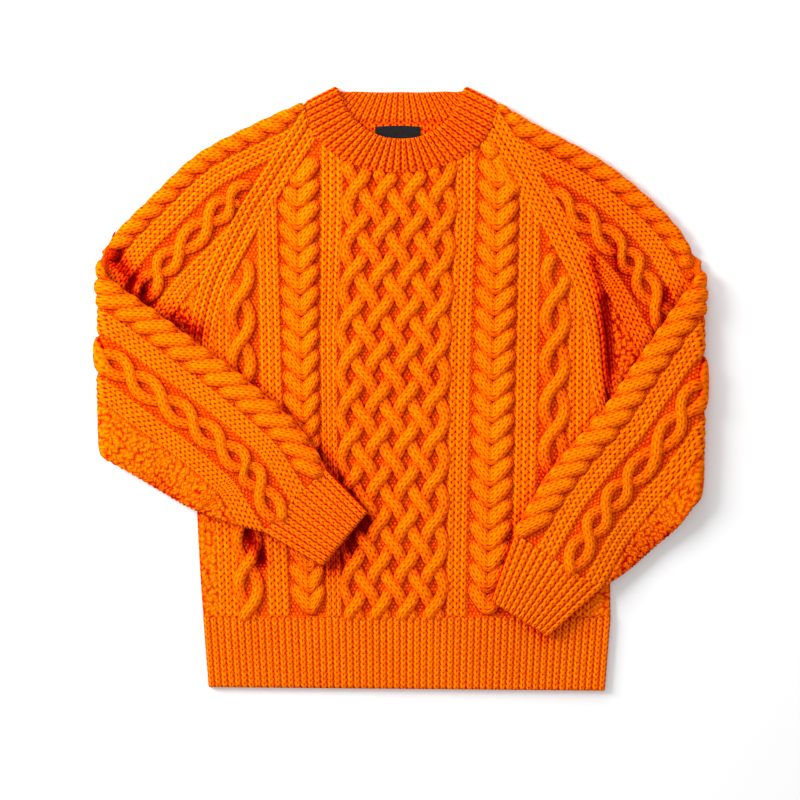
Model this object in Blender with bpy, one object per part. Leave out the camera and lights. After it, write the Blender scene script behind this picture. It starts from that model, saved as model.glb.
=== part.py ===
"""Fisherman sweater in heavy cable knit, laid flat, both sleeves folded across the front.

Each knitted piece is one closed wall. Its cables and ribs are raised in the outer points,
over a plain inside. The back lies flat on the surface, the front lies on the back, and each
sleeve is one sheet, folded along its top line and rolled over at the elbow.
Sizes are in millimetres and become metres when a mesh is made.
"""
import math

import bmesh
import bpy
import numpy as np

# Walls and relief
MM = 0.001
WALL = 3.0
BACK_PLY = 4.0
SEAM_GAP = 0.3
FRONT_INSIDE = BACK_PLY + SEAM_GAP
FRONT_FACE = FRONT_INSIDE + WALL
FOREARM_FACE = BACK_PLY - WALL
CABLE_RISE = 4.0
RIB_RISE = 1.3
MOSS_RISE = 0.7

# Body outline: the raglan edge is shared by the body and the sleeves
# columns: half width from the centre line, height up the body
RAGLAN = [
    (100.5, 289.5),
    (112.0, 271.5),
    (126.0, 250.5),
    (144.0, 222.5),
    (162.0, 195.5),
    (181.5, 161.0),
    (200.0, 126.0),
    (210.0, 98.0),
    (218.0, 62.0),
]
# columns: half width, height, from the underarm down to the rib
LEFT_SIDE = [(226.0, 12.0), (222.0, -120.0), (217.0, -251.3)]
RIGHT_SIDE = [(228.0, -10.0), (229.0, -160.0), (230.0, -251.3)]
RIB_TOP = -251.3
HEM_LEFT = (-211.0, -328.0)
HEM_RIGHT = (223.5, -332.0)
HEM_RIBS = 60
HEM_RISE = 1.6
HEM_LIP = 2.5

# Stitch columns of the front, measured from the centre line
LATTICE_STEP = 7.5
LATTICE_ROW = 11.59
LATTICE_PHASE = 199.7
HORSESHOE_CENTRE = 107.5
HORSESHOE_STEP = 5.6
HORSESHOE_PERIOD = 23.4
HORSESHOE_PHASE = 212.0
HORSESHOE_SLOPE = 1.05
NECK_CORNER = 98.5
LINK_CENTRE = 173.5
LINK_STEP = 5.5
LINK_PERIOD = 49.0
LINK_PHASE = 150.0
LINK_SWING = 9.5
STRAND_HALF = 6.5
RIB_GROUPS = [(60.0, 7.0, 3), (131.0, 7.0, 3), (190.0, 7.0, 2)]
MOSS_COLUMNS = [205.0, 210.0, 214.0, 218.0, 222.0]
SPARSE_ROW = 48.0

# How far the columns drift sideways down the body
# columns: height, left cable, lattice left edge, lattice right edge, right cable
DRIFT = [
    (-235.0, 9.0, -7.0, -9.5, -13.0),
    (-60.0, 2.0, -11.0, -8.0, -8.0),
    (60.0, -1.0, -11.0, -6.0, -5.0),
    (200.0, -6.0, -2.5, 0.5, -1.0),
]

# Neckband, half of it, from the front centre round the fold to the back centre
# columns: seam x, seam y, middle height there, free edge x, free edge y, middle height there
BAND_FRONT = [
    (0.0, 238.2, 7.2, 0.0, 273.9, 10.0),
    (31.0, 240.9, 7.2, 17.0, 275.5, 10.0),
    (59.6, 250.8, 7.4, 34.0, 282.0, 9.8),
    (74.0, 260.0, 7.6, 42.0, 287.5, 9.5),
    (88.0, 272.0, 8.0, 52.0, 296.0, 9.0),
    (97.6, 286.0, 8.4, 59.5, 306.0, 8.7),
    (102.0, 296.0, 8.5, 64.0, 315.0, 8.5),
    (103.8, 309.0, 8.5, 67.8, 327.0, 8.5),
]
BAND_BACK = [
    (103.8, 309.0, 2.5, 67.8, 327.0, 2.5),
    (92.0, 303.5, 2.5, 60.0, 326.0, 2.5),
    (76.0, 298.0, 2.5, 49.0, 326.5, 2.5),
    (50.0, 294.0, 2.5, 33.0, 325.8, 2.5),
    (25.0, 293.0, 2.5, 16.0, 325.5, 2.5),
    (0.0, 293.0, 2.5, 0.0, 326.0, 2.5),
]
BAND_HALF = 2.5
BAND_TURN = 3.0
BAND_RISE = 0.6
BAND_PITCH = 7.0

# Elbow roll, shared by both sleeves
ROLL_START = 321.0
ROLL_AXIS = 9.7
ROLL_RADIUS = 5.6
ROLL_STEPS = 8
STATION = 12.0

# Sleeves, in a frame where the sleeve points to +x
# columns: top line x, top line y, for the rows of RAGLAN and then the underarm
LEFT_TOP = [
    (107.5, 312.5), (125.0, 305.5), (144.0, 296.5), (172.0, 283.5), (199.0, 270.0),
    (227.0, 253.5), (254.0, 228.0), (270.0, 212.0), (285.0, 197.0), (297.0, 186.0),
]
RIGHT_TOP = [
    (107.5, 312.5), (125.0, 301.0), (146.0, 288.5), (175.0, 273.5), (200.0, 260.5),
    (227.0, 244.0), (252.0, 224.5), (268.0, 210.5), (284.0, 196.0), (296.0, 184.0),
]
# columns: top line x, y, seam x, y, from the underarm to the elbow
LEFT_ELBOW = [(310.0, 173.0, 264.0, -18.0), (321.0, 158.0, 321.0, -58.0)]
RIGHT_ELBOW = [(309.0, 167.0, 267.0, -52.0), (321.0, 146.0, 321.0, -100.0)]
# columns: top line x, y, seam x, y, share of the width that is held up, sag of the seam
LEFT_FOREARM = [
    (321.0, 122.0, 321.0, -79.0, 0.88, 0.0),
    (300.0, 106.0, 296.0, -93.0, 0.74, 3.5),
    (262.0, 79.0, 262.0, -113.5, 0.50, 7.0),
    (221.0, 48.0, 232.0, -130.5, 0.45, 3.0),
    (180.0, 18.0, 203.0, -141.5, 0.60, 0.0),
    (140.0, -15.0, 178.0, -149.5, 0.60, 0.0),
    (110.0, -44.0, 162.0, -154.0, 0.60, 0.0),
    (82.0, -87.0, 150.7, -156.8, 0.60, 0.0),
]
RIGHT_FOREARM = [
    (321.0, 118.0, 321.0, -128.0, 0.80, 0.0),
    (300.0, 90.0, 304.0, -151.0, 0.64, 4.5),
    (275.0, 54.0, 278.0, -174.0, 0.42, 7.5),
    (247.0, 14.0, 257.0, -193.0, 0.20, 7.0),
    (219.0, -26.0, 243.0, -204.0, 0.45, 3.0),
    (186.0, -63.0, 232.0, -211.0, 0.60, 0.0),
    (152.0, -108.0, 225.5, -216.0, 0.60, 0.0),
    (123.5, -157.5, 219.0, -219.5, 0.60, 0.0),
]
LEFT_CUFF_END = (35.8, -134.8, 85.8, -194.2)
RIGHT_CUFF_END = (97.9, -232.7, 160.6, -271.2)
# Stitch columns of a sleeve, measured from the top line; its back is turned further round
BACK_TURN = 10.5
ROPE_CENTRE = 4.0
ROPE_HALF = 14.0
ROPE_PERIOD = 24.0
ROPE_SLOPE = 0.8
SLEEVE_LINK_CENTRE = 62.0
SLEEVE_LINK_PERIOD = 43.0
SLEEVE_LINK_SWING = 8.0
SLEEVE_LINK_REACH = 15.0
SLEEVE_RIBS = [22.5, 30.0, 37.5, 84.0, 91.5, 99.0]
SLEEVE_MOSS = 105.0
SLEEVE_COLUMNS = [
    -4.0, 4.5, 12.0, 18.0, 22.5, 26.2, 30.0, 33.8, 37.5, 41.5, 48.0, 55.0, 62.0, 69.0, 76.0,
    80.0, 84.0, 87.8, 91.5, 95.2, 99.0, 103.0, 118.0,
]
EDGE_INSET = 3.2
SEAM_INSET = 4.0
CUFF_PITCH = 7.4
CUFF_RISE = 1.2
CUFF_LIP = 3.0

# Label
LABEL_SIZE = (50.0, 23.0, 0.7)
LABEL_MIDDLE = (-3.5, 276.0)

ORANGE = (0.87, 0.16, 0.004, 1.0)
BLACK = (0.012, 0.012, 0.014, 1.0)


def clear_scene():
    """Removes what a new file holds."""
    for item in list(bpy.data.objects):
        bpy.data.objects.remove(item, do_unlink=True)


def make_material(name, colour, roughness):
    """One plain Principled material."""
    material = bpy.data.materials.new(name)
    material.use_nodes = True
    shader = material.node_tree.nodes["Principled BSDF"]
    shader.inputs["Base Color"].default_value = colour
    shader.inputs["Roughness"].default_value = roughness
    shader.inputs["Metallic"].default_value = 0.0
    return material


def add_piece(name, points, faces, colour=ORANGE, roughness=0.9):
    """A closed mesh from points in millimetres, with its faces turned outwards."""
    mesh = bpy.data.meshes.new(name)
    mesh.from_pydata([tuple(point * MM) for point in np.asarray(points, float)], [], faces)
    shape = bmesh.new()
    shape.from_mesh(mesh)
    bmesh.ops.recalc_face_normals(shape, faces=shape.faces)
    shape.to_mesh(mesh)
    shape.free()
    mesh.materials.append(make_material(name + "_yarn", colour, roughness))
    piece = bpy.data.objects.new(name, mesh)
    sweater.objects.link(piece)
    return piece


def spline(rows, at):
    """Catmull-Rom curve through table rows, read at row numbers."""
    rows = np.asarray(rows, float)
    last = len(rows) - 1
    at = np.clip(np.asarray(at, float), 0, last)
    row = np.minimum(at.astype(int), last - 1)
    part = (at - row)[:, None]
    before = rows[np.maximum(row - 1, 0)]
    here = rows[row]
    after = rows[row + 1]
    beyond = rows[np.minimum(row + 2, last)]
    first = (after - before) * part
    second = (2 * before - 5 * here + 4 * after - beyond) * part ** 2
    third = (3 * here - before - 3 * after + beyond) * part ** 3
    return 0.5 * (2 * here + first + second + third)


def dense(rows, per_row=24):
    """The same curve as many points."""
    return spline(rows, np.linspace(0, len(rows) - 1, (len(rows) - 1) * per_row + 1))


def walk(rows, step):
    """Row numbers along a curve, about one step apart, with each table row among them."""
    numbers = [0.0]
    for row, (one, two) in enumerate(zip(rows, rows[1:])):
        count = max(int(round(math.dist(one[:2], two[:2]) / step)), 1)
        numbers += [row + (k + 1) / count for k in range(count)]
    return np.array(numbers)


def push(curve, distance):
    """A plan curve moved sideways to its right by a distance."""
    along = np.gradient(curve, axis=0)
    along /= np.linalg.norm(along, axis=1)[:, None]
    return curve + distance * np.stack([along[:, 1], -along[:, 0]], axis=1)


# Relief of the front

def ridge(distance, half):
    """A rounded ridge, 1 in the middle and 0 from half its width."""
    return math.sqrt(max(1.0 - (distance / half) ** 2, 0.0))


def lattice_rise(column, height):
    """Eight strands woven over and under, which turn back at both edges."""
    across = column / LATTICE_STEP
    up = (height - LATTICE_PHASE) / LATTICE_ROW
    if abs(across) > 7.6:
        return 0.0
    leaning = abs((across - up + 2) % 4 - 2)
    crossing = abs((across + up + 2) % 4 - 2)
    near = min(leaning, crossing)
    if abs(across) > 6.4:
        near = min(near, abs((up + 2) % 4 - 2) - 0.6)
    return CABLE_RISE * min(max(1.2 - near, 0.0), 1.0)


def horseshoe_rise(offset, height):
    """Stacked V forms with their points down."""
    phase = 2 * math.pi * (height - HORSESHOE_PHASE - abs(offset) * HORSESHOE_SLOPE) / HORSESHOE_PERIOD
    wave = 0.5 + 0.5 * math.cos(phase)
    return CABLE_RISE * (0.35 + 0.65 * wave) * ridge(offset, 23.0)


def link_rise(offset, height, period, phase, swing):
    """Two strands that part and cross in open links."""
    lean = swing * math.sin(math.pi * (height - phase) / period)
    return CABLE_RISE * max(ridge(offset - lean, STRAND_HALF), ridge(offset + lean, STRAND_HALF))


def column_x(column, height):
    """Where a stitch column lies at a height, with the body's sideways drift."""
    rows = np.array(DRIFT)
    shift = [np.interp(height, rows[:, 0], rows[:, k]) for k in range(1, 5)]
    left = side_width(LEFT_SIDE, height) - LEFT_SIDE[0][0]
    right = side_width(RIGHT_SIDE, height) - RIGHT_SIDE[0][0]
    marks = [-LEFT_SIDE[0][0], -HORSESHOE_CENTRE, -52.5, 52.5, HORSESHOE_CENTRE, RIGHT_SIDE[0][0]]
    return column + np.interp(column, marks, [-left] + shift + [right])


def side_width(side, height):
    """Half width of the body below the underarm."""
    rows = np.array(side)[::-1]
    return np.interp(height, rows[:, 1], rows[:, 0])


def front_columns():
    """The front's columns: place, spacing of points, first point, and relief there."""
    columns = []
    for number in range(9):
        place = number * LATTICE_STEP
        columns.append((place, LATTICE_ROW, LATTICE_PHASE, lattice_rise))
    offsets = [number * HORSESHOE_STEP for number in range(-4, 5)]
    for offset in offsets + [NECK_CORNER - HORSESHOE_CENTRE]:
        first = HORSESHOE_PHASE + abs(offset) * HORSESHOE_SLOPE

        def rise(column, height):
            return horseshoe_rise(abs(column) - HORSESHOE_CENTRE, height)
        columns.append((HORSESHOE_CENTRE + offset, HORSESHOE_PERIOD / 2, first, rise))
    for number in range(-3, 4):
        place = LINK_CENTRE + number * LINK_STEP

        def rise(column, height):
            offset = abs(column) - LINK_CENTRE
            return link_rise(offset, height, LINK_PERIOD, LINK_PHASE, LINK_SWING)
        columns.append((place, LINK_PERIOD / 4, LINK_PHASE, rise))
    for start, pitch, count in RIB_GROUPS:
        for number in range(count):
            middle = start + (number + 0.5) * pitch
            columns.append((middle, SPARSE_ROW, 0.0, lambda column, height: RIB_RISE))
            if number < count - 1:
                columns.append((middle + pitch / 2, SPARSE_ROW, 0.0, lambda column, height: 0.0))
    for place in MOSS_COLUMNS:
        columns.append((place, SPARSE_ROW, 0.0, lambda column, height: MOSS_RISE))
    mirrored = [(-place, step, first, rise) for place, step, first, rise in columns if place > 0]
    edges = [
        (-LEFT_SIDE[0][0], SPARSE_ROW, 0.0, lambda column, height: 0.0),
        (RIGHT_SIDE[0][0], SPARSE_ROW, 0.0, lambda column, height: 0.0),
    ]
    return sorted(columns + mirrored + edges, key=lambda entry: entry[0])


def raglan_edge(side, elbow, per_row=24):
    """A panel's raglan edge from the neck to the underarm, clear of the sleeve's seam."""
    curve = dense(RAGLAN + side[:1] + [elbow[0][2:4]], per_row)
    return push(curve, SEAM_GAP)[:len(RAGLAN) * per_row + 1]


def panel_top(side, elbow, neck):
    """Height of a panel's top edge over its half width: neckline, then raglan."""
    raglan = raglan_edge(side, elbow)
    neck = neck[neck[:, 0] < raglan[0, 0]]
    neck = neck[neck[:, 1] < np.interp(neck[:, 0], raglan[:, 0], raglan[:, 1]) + 0.01]
    return np.concatenate([neck, raglan])


def neckline(rows):
    """The neckband's seam, moved away from the band by the seam's gap."""
    curve = dense(rows)
    seam = curve[:, 0:2]
    away = seam - curve[:, 3:5]
    away /= np.linalg.norm(away, axis=1)[:, None]
    line = seam + (SEAM_GAP + 0.3) * away
    return line[np.argsort(line[:, 0])]


def zip_strip(left, right, points):
    """Triangles between two columns of points, the lower next point first."""
    faces = []
    i = 0
    j = 0
    while i < len(left) - 1 or j < len(right) - 1:
        if i == len(left) - 1:
            climb_left = False
        elif j == len(right) - 1:
            climb_left = True
        else:
            gap = points[left[i + 1]][1] - points[right[j + 1]][1]
            if abs(gap) < 0.2:
                one = points[left[i + 1]][2] + points[right[j]][2]
                climb_left = one > points[left[i]][2] + points[right[j + 1]][2]
            else:
                climb_left = gap < 0
        if climb_left:
            faces.append((left[i], right[j], left[i + 1]))
            i += 1
        else:
            faces.append((left[i], right[j], right[j + 1]))
            j += 1
    return faces


def close_wall(points, strips, low):
    """Adds the rim and the plain inside to an open face made of columns."""
    border = [strip[0] for strip in strips] + strips[-1][1:]
    border += [strip[-1] for strip in strips[-2::-1]] + strips[0][-2:0:-1]
    faces = []
    for left, right in zip(strips, strips[1:]):
        faces += zip_strip(left, right, points)
    first = len(points)
    points = points + [np.array([points[k][0], points[k][1], low]) for k in border]
    count = len(border)
    for k in range(count):
        after = (k + 1) % count
        faces.append((border[k], first + k, first + after, border[after]))
    faces.append(tuple(first + k for k in reversed(range(count))))
    return points, faces


def build_front():
    """The front, its cables raised on the outer face."""
    neck = neckline(BAND_FRONT)
    tops = {
        -1: panel_top(LEFT_SIDE, LEFT_ELBOW, neck),
        1: panel_top(RIGHT_SIDE, RIGHT_ELBOW, neck),
    }
    points = []
    strips = []
    for column, step, first, rise in front_columns():
        side = -1 if column < 0 else 1
        top = tops[side]
        end = 200.0
        for _ in range(6):
            place = min(abs(column_x(column, end)), top[-1, 0])
            end = float(np.interp(place, top[:, 0], top[:, 1]))
        count = int((end - RIB_TOP) / step) + 2
        start = first + step * math.ceil((RIB_TOP - first) / step)
        heights = [start + step * k for k in range(count)]
        heights = [h for h in heights if RIB_TOP + 3.5 < h < end - 3.5]
        strip = []
        for height in [RIB_TOP] + heights + [end]:
            at_edge = height in (RIB_TOP, end)
            lift = rise(column, height) * (0.5 if at_edge else 1.0)
            strip.append(len(points))
            points.append(np.array([column_x(column, height), height, FRONT_FACE + lift]))
        strips.append(strip)
    points, faces = close_wall(points, strips, FRONT_INSIDE)
    add_piece("front_panel", points, faces)


def flat_plate(name, outline, low, high, colour=ORANGE, roughness=0.9):
    """A flat outline with a thickness."""
    count = len(outline)
    points = [np.array([x, y, low]) for x, y in outline]
    points += [np.array([x, y, high]) for x, y in outline]
    faces = [tuple(reversed(range(count))), tuple(range(count, 2 * count))]
    for k in range(count):
        after = (k + 1) % count
        faces.append((k, after, count + after, count + k))
    add_piece(name, points, faces, colour, roughness)


def build_back():
    """The back, its cables pressed flat under the part."""
    neck = neckline(BAND_BACK)
    outline = [tuple(row) for row in RIGHT_SIDE[:0:-1]]
    outline += [tuple(p) for p in raglan_edge(RIGHT_SIDE, RIGHT_ELBOW, 4)[::-1]]
    half = [tuple(p) for p in neck[::8] if p[0] < NECK_CORNER - 3.5]
    outline += half[::-1] + [(-x, y) for x, y in half if x > 1.0]
    outline += [(-x, y) for x, y in raglan_edge(LEFT_SIDE, LEFT_ELBOW, 4)]
    outline += [(-width, height) for width, height in LEFT_SIDE[1:]]
    flat_plate("back_panel", outline, 0.0, BACK_PLY)


def hem_point(share, down):
    """A plan point of the hem: share across, and down from the body to the lower edge."""
    left = -LEFT_SIDE[-1][0]
    upper = np.array([left + share * (RIGHT_SIDE[-1][0] - left), RIB_TOP - SEAM_GAP])
    lower = np.array(HEM_LEFT) + share * (np.array(HEM_RIGHT) - np.array(HEM_LEFT))
    return upper + (lower - upper) * down


def build_hems():
    """The hem rib, raised in front and plain where it lies on the surface."""
    depth = abs(HEM_LEFT[1] - RIB_TOP)
    points = []
    strips = []
    for column in range(2 * HEM_RIBS + 1):
        share = column / (2 * HEM_RIBS)
        lift = HEM_RISE if column % 2 else 0.0
        strip = []
        for down, drop in ((1.0, 1.6), (1.0 - HEM_LIP / depth, 0.0), (0.0, 0.0)):
            x, y = hem_point(share, down)
            strip.append(len(points))
            points.append(np.array([x, y, FRONT_FACE + lift * (down < 1.0) - drop]))
        strips.append(strip)
    points, faces = close_wall(points, strips, FRONT_INSIDE)
    add_piece("front_hem_rib", points, faces)
    corners = [hem_point(0.0, 1.0), hem_point(1.0, 1.0), hem_point(1.0, 0.0), hem_point(0.0, 0.0)]
    flat_plate("back_hem_rib", [tuple(corner) for corner in corners], 0.0, BACK_PLY)


# Sleeves and cuffs

def roll_over(across, height, level, sag):
    """The elbow roll: level cloth up to the axis, half a turn, then back on top."""
    past = across - ROLL_START
    angle = np.clip(past / ROLL_RADIUS, 0.0, math.pi)
    reach = ROLL_AXIS - level
    beyond = max(past - math.pi * ROLL_RADIUS, 0.0)
    place = min(across, ROLL_START) + reach * math.sin(angle) - beyond
    return np.array([place, height, ROLL_AXIS - reach * math.cos(angle) - sag])


def unfold(rows):
    """Forearm rows as they lie, turned back into the sleeve's flat layout."""
    rows = np.array(rows, float)
    far = 2 * ROLL_START + math.pi * ROLL_RADIUS
    rows[:, 0] = far - rows[:, 0]
    rows[:, 2] = far - rows[:, 2]
    return rows


def sleeve_rise(across, along):
    """Relief of a sleeve at a distance from its top line: rope, ribs, links, ribs, moss."""
    if across < ROPE_CENTRE + ROPE_HALF + 1.0:
        phase = 2 * math.pi * (along + across * ROPE_SLOPE) / ROPE_PERIOD
        wave = 0.5 + 0.5 * math.cos(phase)
        return CABLE_RISE * (0.4 + 0.6 * wave) * ridge(across - ROPE_CENTRE, ROPE_HALF + 3.0)
    for place in SLEEVE_RIBS:
        if abs(across - place) < 1.0:
            return RIB_RISE
    if abs(across - SLEEVE_LINK_CENTRE) < SLEEVE_LINK_REACH:
        offset = across - SLEEVE_LINK_CENTRE
        return link_rise(offset, along, SLEEVE_LINK_PERIOD, 0.0, SLEEVE_LINK_SWING)
    return MOSS_RISE if across > SLEEVE_MOSS else 0.0


def cuff_rise(number):
    """Ribs of a cuff: each second column is raised."""
    return CUFF_RISE if number % 2 else 0.0


def sheet_sections(stations, columns, turn, front_fine, back_fine, relief):
    """Points and faces of a folded sheet, one closed section for each station.

    A section runs from the seam over the front, round the top line, over the back to the
    seam, and returns inside. Columns past the seam share the seam's point, and columns of
    a plain side, or past the top line, share the point beside the top line. The back's
    columns lie further from the top line, by the turn.
    """
    points = []
    rings = []
    edge = stations[:, 0:2]
    seam = stations[:, 2:4]
    tangent = np.gradient(edge, axis=0)
    tangent /= np.linalg.norm(tangent, axis=1)[:, None]
    steps = np.hypot(*np.diff(edge, axis=0).T)
    travelled = np.concatenate([[0], np.cumsum(steps)])
    for k in range(len(stations)):
        span = seam[k] - edge[k]
        width = float(np.hypot(*span))
        span /= width
        slant = float(span @ tangent[k])
        square = math.sqrt(max(1 - slant ** 2, 0.1))
        held = stations[k, 4] * width
        sag = stations[k, 5]

        def put(w, level):
            hang = sag * max(w - held, 0.0) / max(width - held, 1.0)
            plan = edge[k] + span * w
            points.append(roll_over(plan[0], plan[1], level, hang))
            return len(points) - 1

        def side(fine, face, sign):
            near = put(EDGE_INSET, face - sign * 0.3)
            run = [near]
            shift = turn if sign < 0 else 0.0
            places = [(column + shift) / square for column in columns]
            middle = near if fine else put(held, face)
            for number, w in enumerate(places):
                if not fine or w < EDGE_INSET + 1.0:
                    run.append(near)
                elif w < width - SEAM_INSET:
                    lift = relief(columns[number], travelled[k] + w * slant, number, k)
                    run.append(put(w, face + sign * lift))
                else:
                    run.append(None)
            last = put(width, face)
            run = [last if item is None else item for item in run]
            return run + [last if fine else middle, last]

        front = side(front_fine[k], FRONT_FACE, 1)
        back_face = stations[k, 6]
        back = side(back_fine[k], back_face, -1)
        nose = [put(0.7, FRONT_FACE - 1.7), put(0.0, (FRONT_FACE + back_face) / 2),
                put(0.7, back_face + 1.7)]
        inner_back = [put(width, BACK_PLY), put(held, BACK_PLY), put(4.0, BACK_PLY)]
        inner_front = [put(4.0, FRONT_INSIDE), put(held, FRONT_INSIDE), put(width, FRONT_INSIDE)]
        rings.append(front[::-1] + nose + back + inner_back + inner_front)
    faces = []
    count = len(rings[0])
    for one, two in zip(rings, rings[1:]):
        for a in range(count):
            b = (a + 1) % count
            faces.append(drop_repeats((one[a], one[b], two[b], two[a])))
    faces.append(drop_repeats(rings[0]))
    faces.append(drop_repeats(rings[-1][::-1]))
    return points, [face for face in faces if len(face) > 2]


def drop_repeats(ids):
    """A face's corners without the ones that repeat."""
    kept = []
    for item in ids:
        if item not in kept:
            kept.append(item)
    return tuple(kept)


def tidy_points(points, faces):
    """Drops points that no face uses."""
    used = sorted({item for face in faces for item in face})
    number = {old: new for new, old in enumerate(used)}
    return [points[item] for item in used], [tuple(number[i] for i in face) for face in faces]


def add_sheet(name, side, points, faces):
    """A sleeve or cuff, turned to its own side of the body."""
    points, faces = tidy_points(points, faces)
    turned = np.array(points) * np.array([side, 1.0, 1.0])
    add_piece(name, turned, faces)


def sleeve_stations(top, elbow, side, forearm):
    """Every station of a sleeve in its flat layout, and which sides show."""
    seam = RAGLAN + side[:1]
    upper = [(a, b, c, d, 0.6, 0.0) for (a, b), (c, d) in zip(top, seam)]
    upper += [row + (0.6, 0.0) for row in elbow]
    first = spline(upper, walk(upper, STATION))
    far = unfold(forearm)
    both = np.array([upper[-1], tuple(far[0])])
    share = np.linspace(0, 1, ROLL_STEPS + 1)[1:-1, None]
    roll = both[0] + (both[1] - both[0]) * share
    last = spline(far, walk(far, STATION))
    last[:, 4] = np.clip(last[:, 4], 0.15, 0.9)
    last[:, 5] = np.maximum(last[:, 5], 0.0)
    stations = np.concatenate([first, roll, last])
    count = len(stations)
    bend = len(first)
    front_fine = [k < bend - 2 for k in range(count)]
    back_fine = [k >= bend for k in range(count)]
    turn = np.clip((np.arange(count) - bend + 1) / ROLL_STEPS, 0, 1)
    level = (FOREARM_FACE * turn)[:, None]
    return np.concatenate([stations, level], axis=1), front_fine, back_fine, bend


def build_sleeve(name, sign, top, elbow, side, forearm):
    """One sleeve: a sheet folded at its top line and rolled over at the elbow."""
    stations, front_fine, back_fine, bend = sleeve_stations(top, elbow, side, forearm)
    fade = np.ones(len(stations))
    fade[bend - 4:bend] = (0.6, 0.3, 0.0, 0.0)
    fade[bend:bend + ROLL_STEPS] = np.linspace(0.2, 1.0, ROLL_STEPS)
    fade[-1] = 0.4
    fade[0] = 0.5

    def relief(across, along, number, station):
        return sleeve_rise(across, along) * fade[station]
    points, faces = sheet_sections(stations, SLEEVE_COLUMNS, BACK_TURN, front_fine, back_fine, relief)
    add_sheet(name, sign, points, faces)


def build_cuff(name, sign, forearm, end):
    """A cuff rib, folded flat on the body like the forearm that it closes."""
    start = forearm[-1]
    rows = unfold([start[:4] + (0.6, 0.0), end + (0.6, 0.0)])
    length = float(np.hypot(rows[1, 0] - rows[0, 0], rows[1, 1] - rows[0, 1]))
    shares = np.array([SEAM_GAP / length * 1.5, 0.33, 0.67, 1 - CUFF_LIP / length, 1.0])
    stations = rows[0] + (rows[1] - rows[0]) * shares[:, None]
    level = np.full((len(stations), 1), FOREARM_FACE)
    level[-1] = FOREARM_FACE + 1.3
    stations = np.concatenate([stations, level], axis=1)
    width = float(np.hypot(*(rows[1, 2:4] - rows[1, 0:2])))
    columns = list(np.arange(CUFF_PITCH, width - 4.0, CUFF_PITCH / 2))
    every = [True] * len(stations)

    def relief(across, along, number, station):
        return cuff_rise(number) * (0.0 if station == len(stations) - 1 else 1.0)
    none = [False] * len(stations)
    points, faces = sheet_sections(stations, columns, 0.0, none, every, relief)
    add_sheet(name, sign, points, faces)


# Neckband and label

def band_rows():
    """The band's rows all round: front half, folds, back half, and which face shows."""
    front = spline(BAND_FRONT, walk(BAND_FRONT, BAND_PITCH / 2))
    back = spline(BAND_BACK, walk(BAND_BACK, BAND_PITCH / 2))
    fold = np.array(BAND_FRONT[-1])
    line = fold[3:5] - fold[0:2]
    line /= np.hypot(*line)
    out = np.array([line[1], -line[0]])
    if out[0] + out[1] < 0:
        out = -out
    turn = []
    for angle in np.linspace(0, math.pi, 6)[1:-1]:
        shift = out * BAND_TURN * math.sin(angle)
        level = BAND_HALF + BAND_TURN * (1 + math.cos(angle))
        turn.append(np.concatenate([fold[0:2] + shift, [level], fold[3:5] + shift, [level]]))
    half = np.concatenate([front, np.array(turn), back])
    mirrored = half[1:-1][::-1] * np.array([-1, 1, 1, -1, 1, 1])
    shown = np.array([1] * len(front) + [1] * len(turn) + [0] * len(back))
    return np.concatenate([half, mirrored]), np.concatenate([shown, shown[1:-1][::-1]])


def build_neckband():
    """The doubled rib band, a closed ring with ribs on the faces that show."""
    rows, outside = band_rows()
    count = len(rows)
    seam = rows[:, 0:3]
    free = rows[:, 3:6]
    rise = free - seam
    rise /= np.linalg.norm(rise, axis=1)[:, None]
    middle = (seam + free) / 2
    around = np.roll(middle, -1, axis=0) - np.roll(middle, 1, axis=0)
    out = np.cross(rise, around)
    out /= np.linalg.norm(out, axis=1)[:, None]
    if out[0, 2] < 0:
        out = -out
    rib = np.array([BAND_RISE * (k % 2) for k in range(count)])
    faces = []
    rings = []
    points = []
    # columns: share up the band, pull back from its free edge, distance out of the middle
    profile = [(0.0, 0.0, 1.0), (0.5, 0.0, 1.0), (1.0, 2.0, 1.0), (1.0, 0.0, 0.0),
               (1.0, 2.0, -1.0), (0.5, 0.0, -1.0), (0.0, 0.0, -1.0)]
    for k in range(count):
        ring = []
        for share, back, sign in profile:
            lift = rib[k] if (sign > 0) == (outside[k] == 1) and sign != 0 else 0.0
            at_edge = 0.6 if share == 0.0 else 1.0
            base = seam[k] + (free[k] - seam[k]) * share - rise[k] * back
            ring.append(len(points))
            points.append(base + out[k] * sign * (BAND_HALF + lift * at_edge))
        rings.append(ring)
    size = len(profile)
    for k in range(count):
        one = rings[k]
        two = rings[(k + 1) % count]
        for a in range(size):
            b = (a + 1) % size
            faces.append((one[a], one[b], two[b], two[a]))
    add_piece("neckband", points, faces)


def build_label():
    """The bare woven label inside the back, below the neckband."""
    wide, tall, thick = LABEL_SIZE
    x, y = LABEL_MIDDLE
    outline = [(x - wide / 2, y - tall / 2), (x + wide / 2, y - tall / 2)]
    for share in np.linspace(1, -1, 9):
        outline.append((x + share * wide / 2, y + tall / 2 + 1.2 * (1 - share ** 2)))
    low = BACK_PLY + SEAM_GAP
    flat_plate("neck_label", outline, low, low + thick, BLACK, 0.7)


clear_scene()
sweater = bpy.data.collections.new("fisherman_sweater")
bpy.context.scene.collection.children.link(sweater)
build_back()
build_front()
build_hems()
build_sleeve("left_sleeve", -1, LEFT_TOP, LEFT_ELBOW, LEFT_SIDE, LEFT_FOREARM)
build_sleeve("right_sleeve", 1, RIGHT_TOP, RIGHT_ELBOW, RIGHT_SIDE, RIGHT_FOREARM)
build_cuff("left_cuff", -1, LEFT_FOREARM, LEFT_CUFF_END)
build_cuff("right_cuff", 1, RIGHT_FOREARM, RIGHT_CUFF_END)
build_neckband()
build_label()
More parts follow.
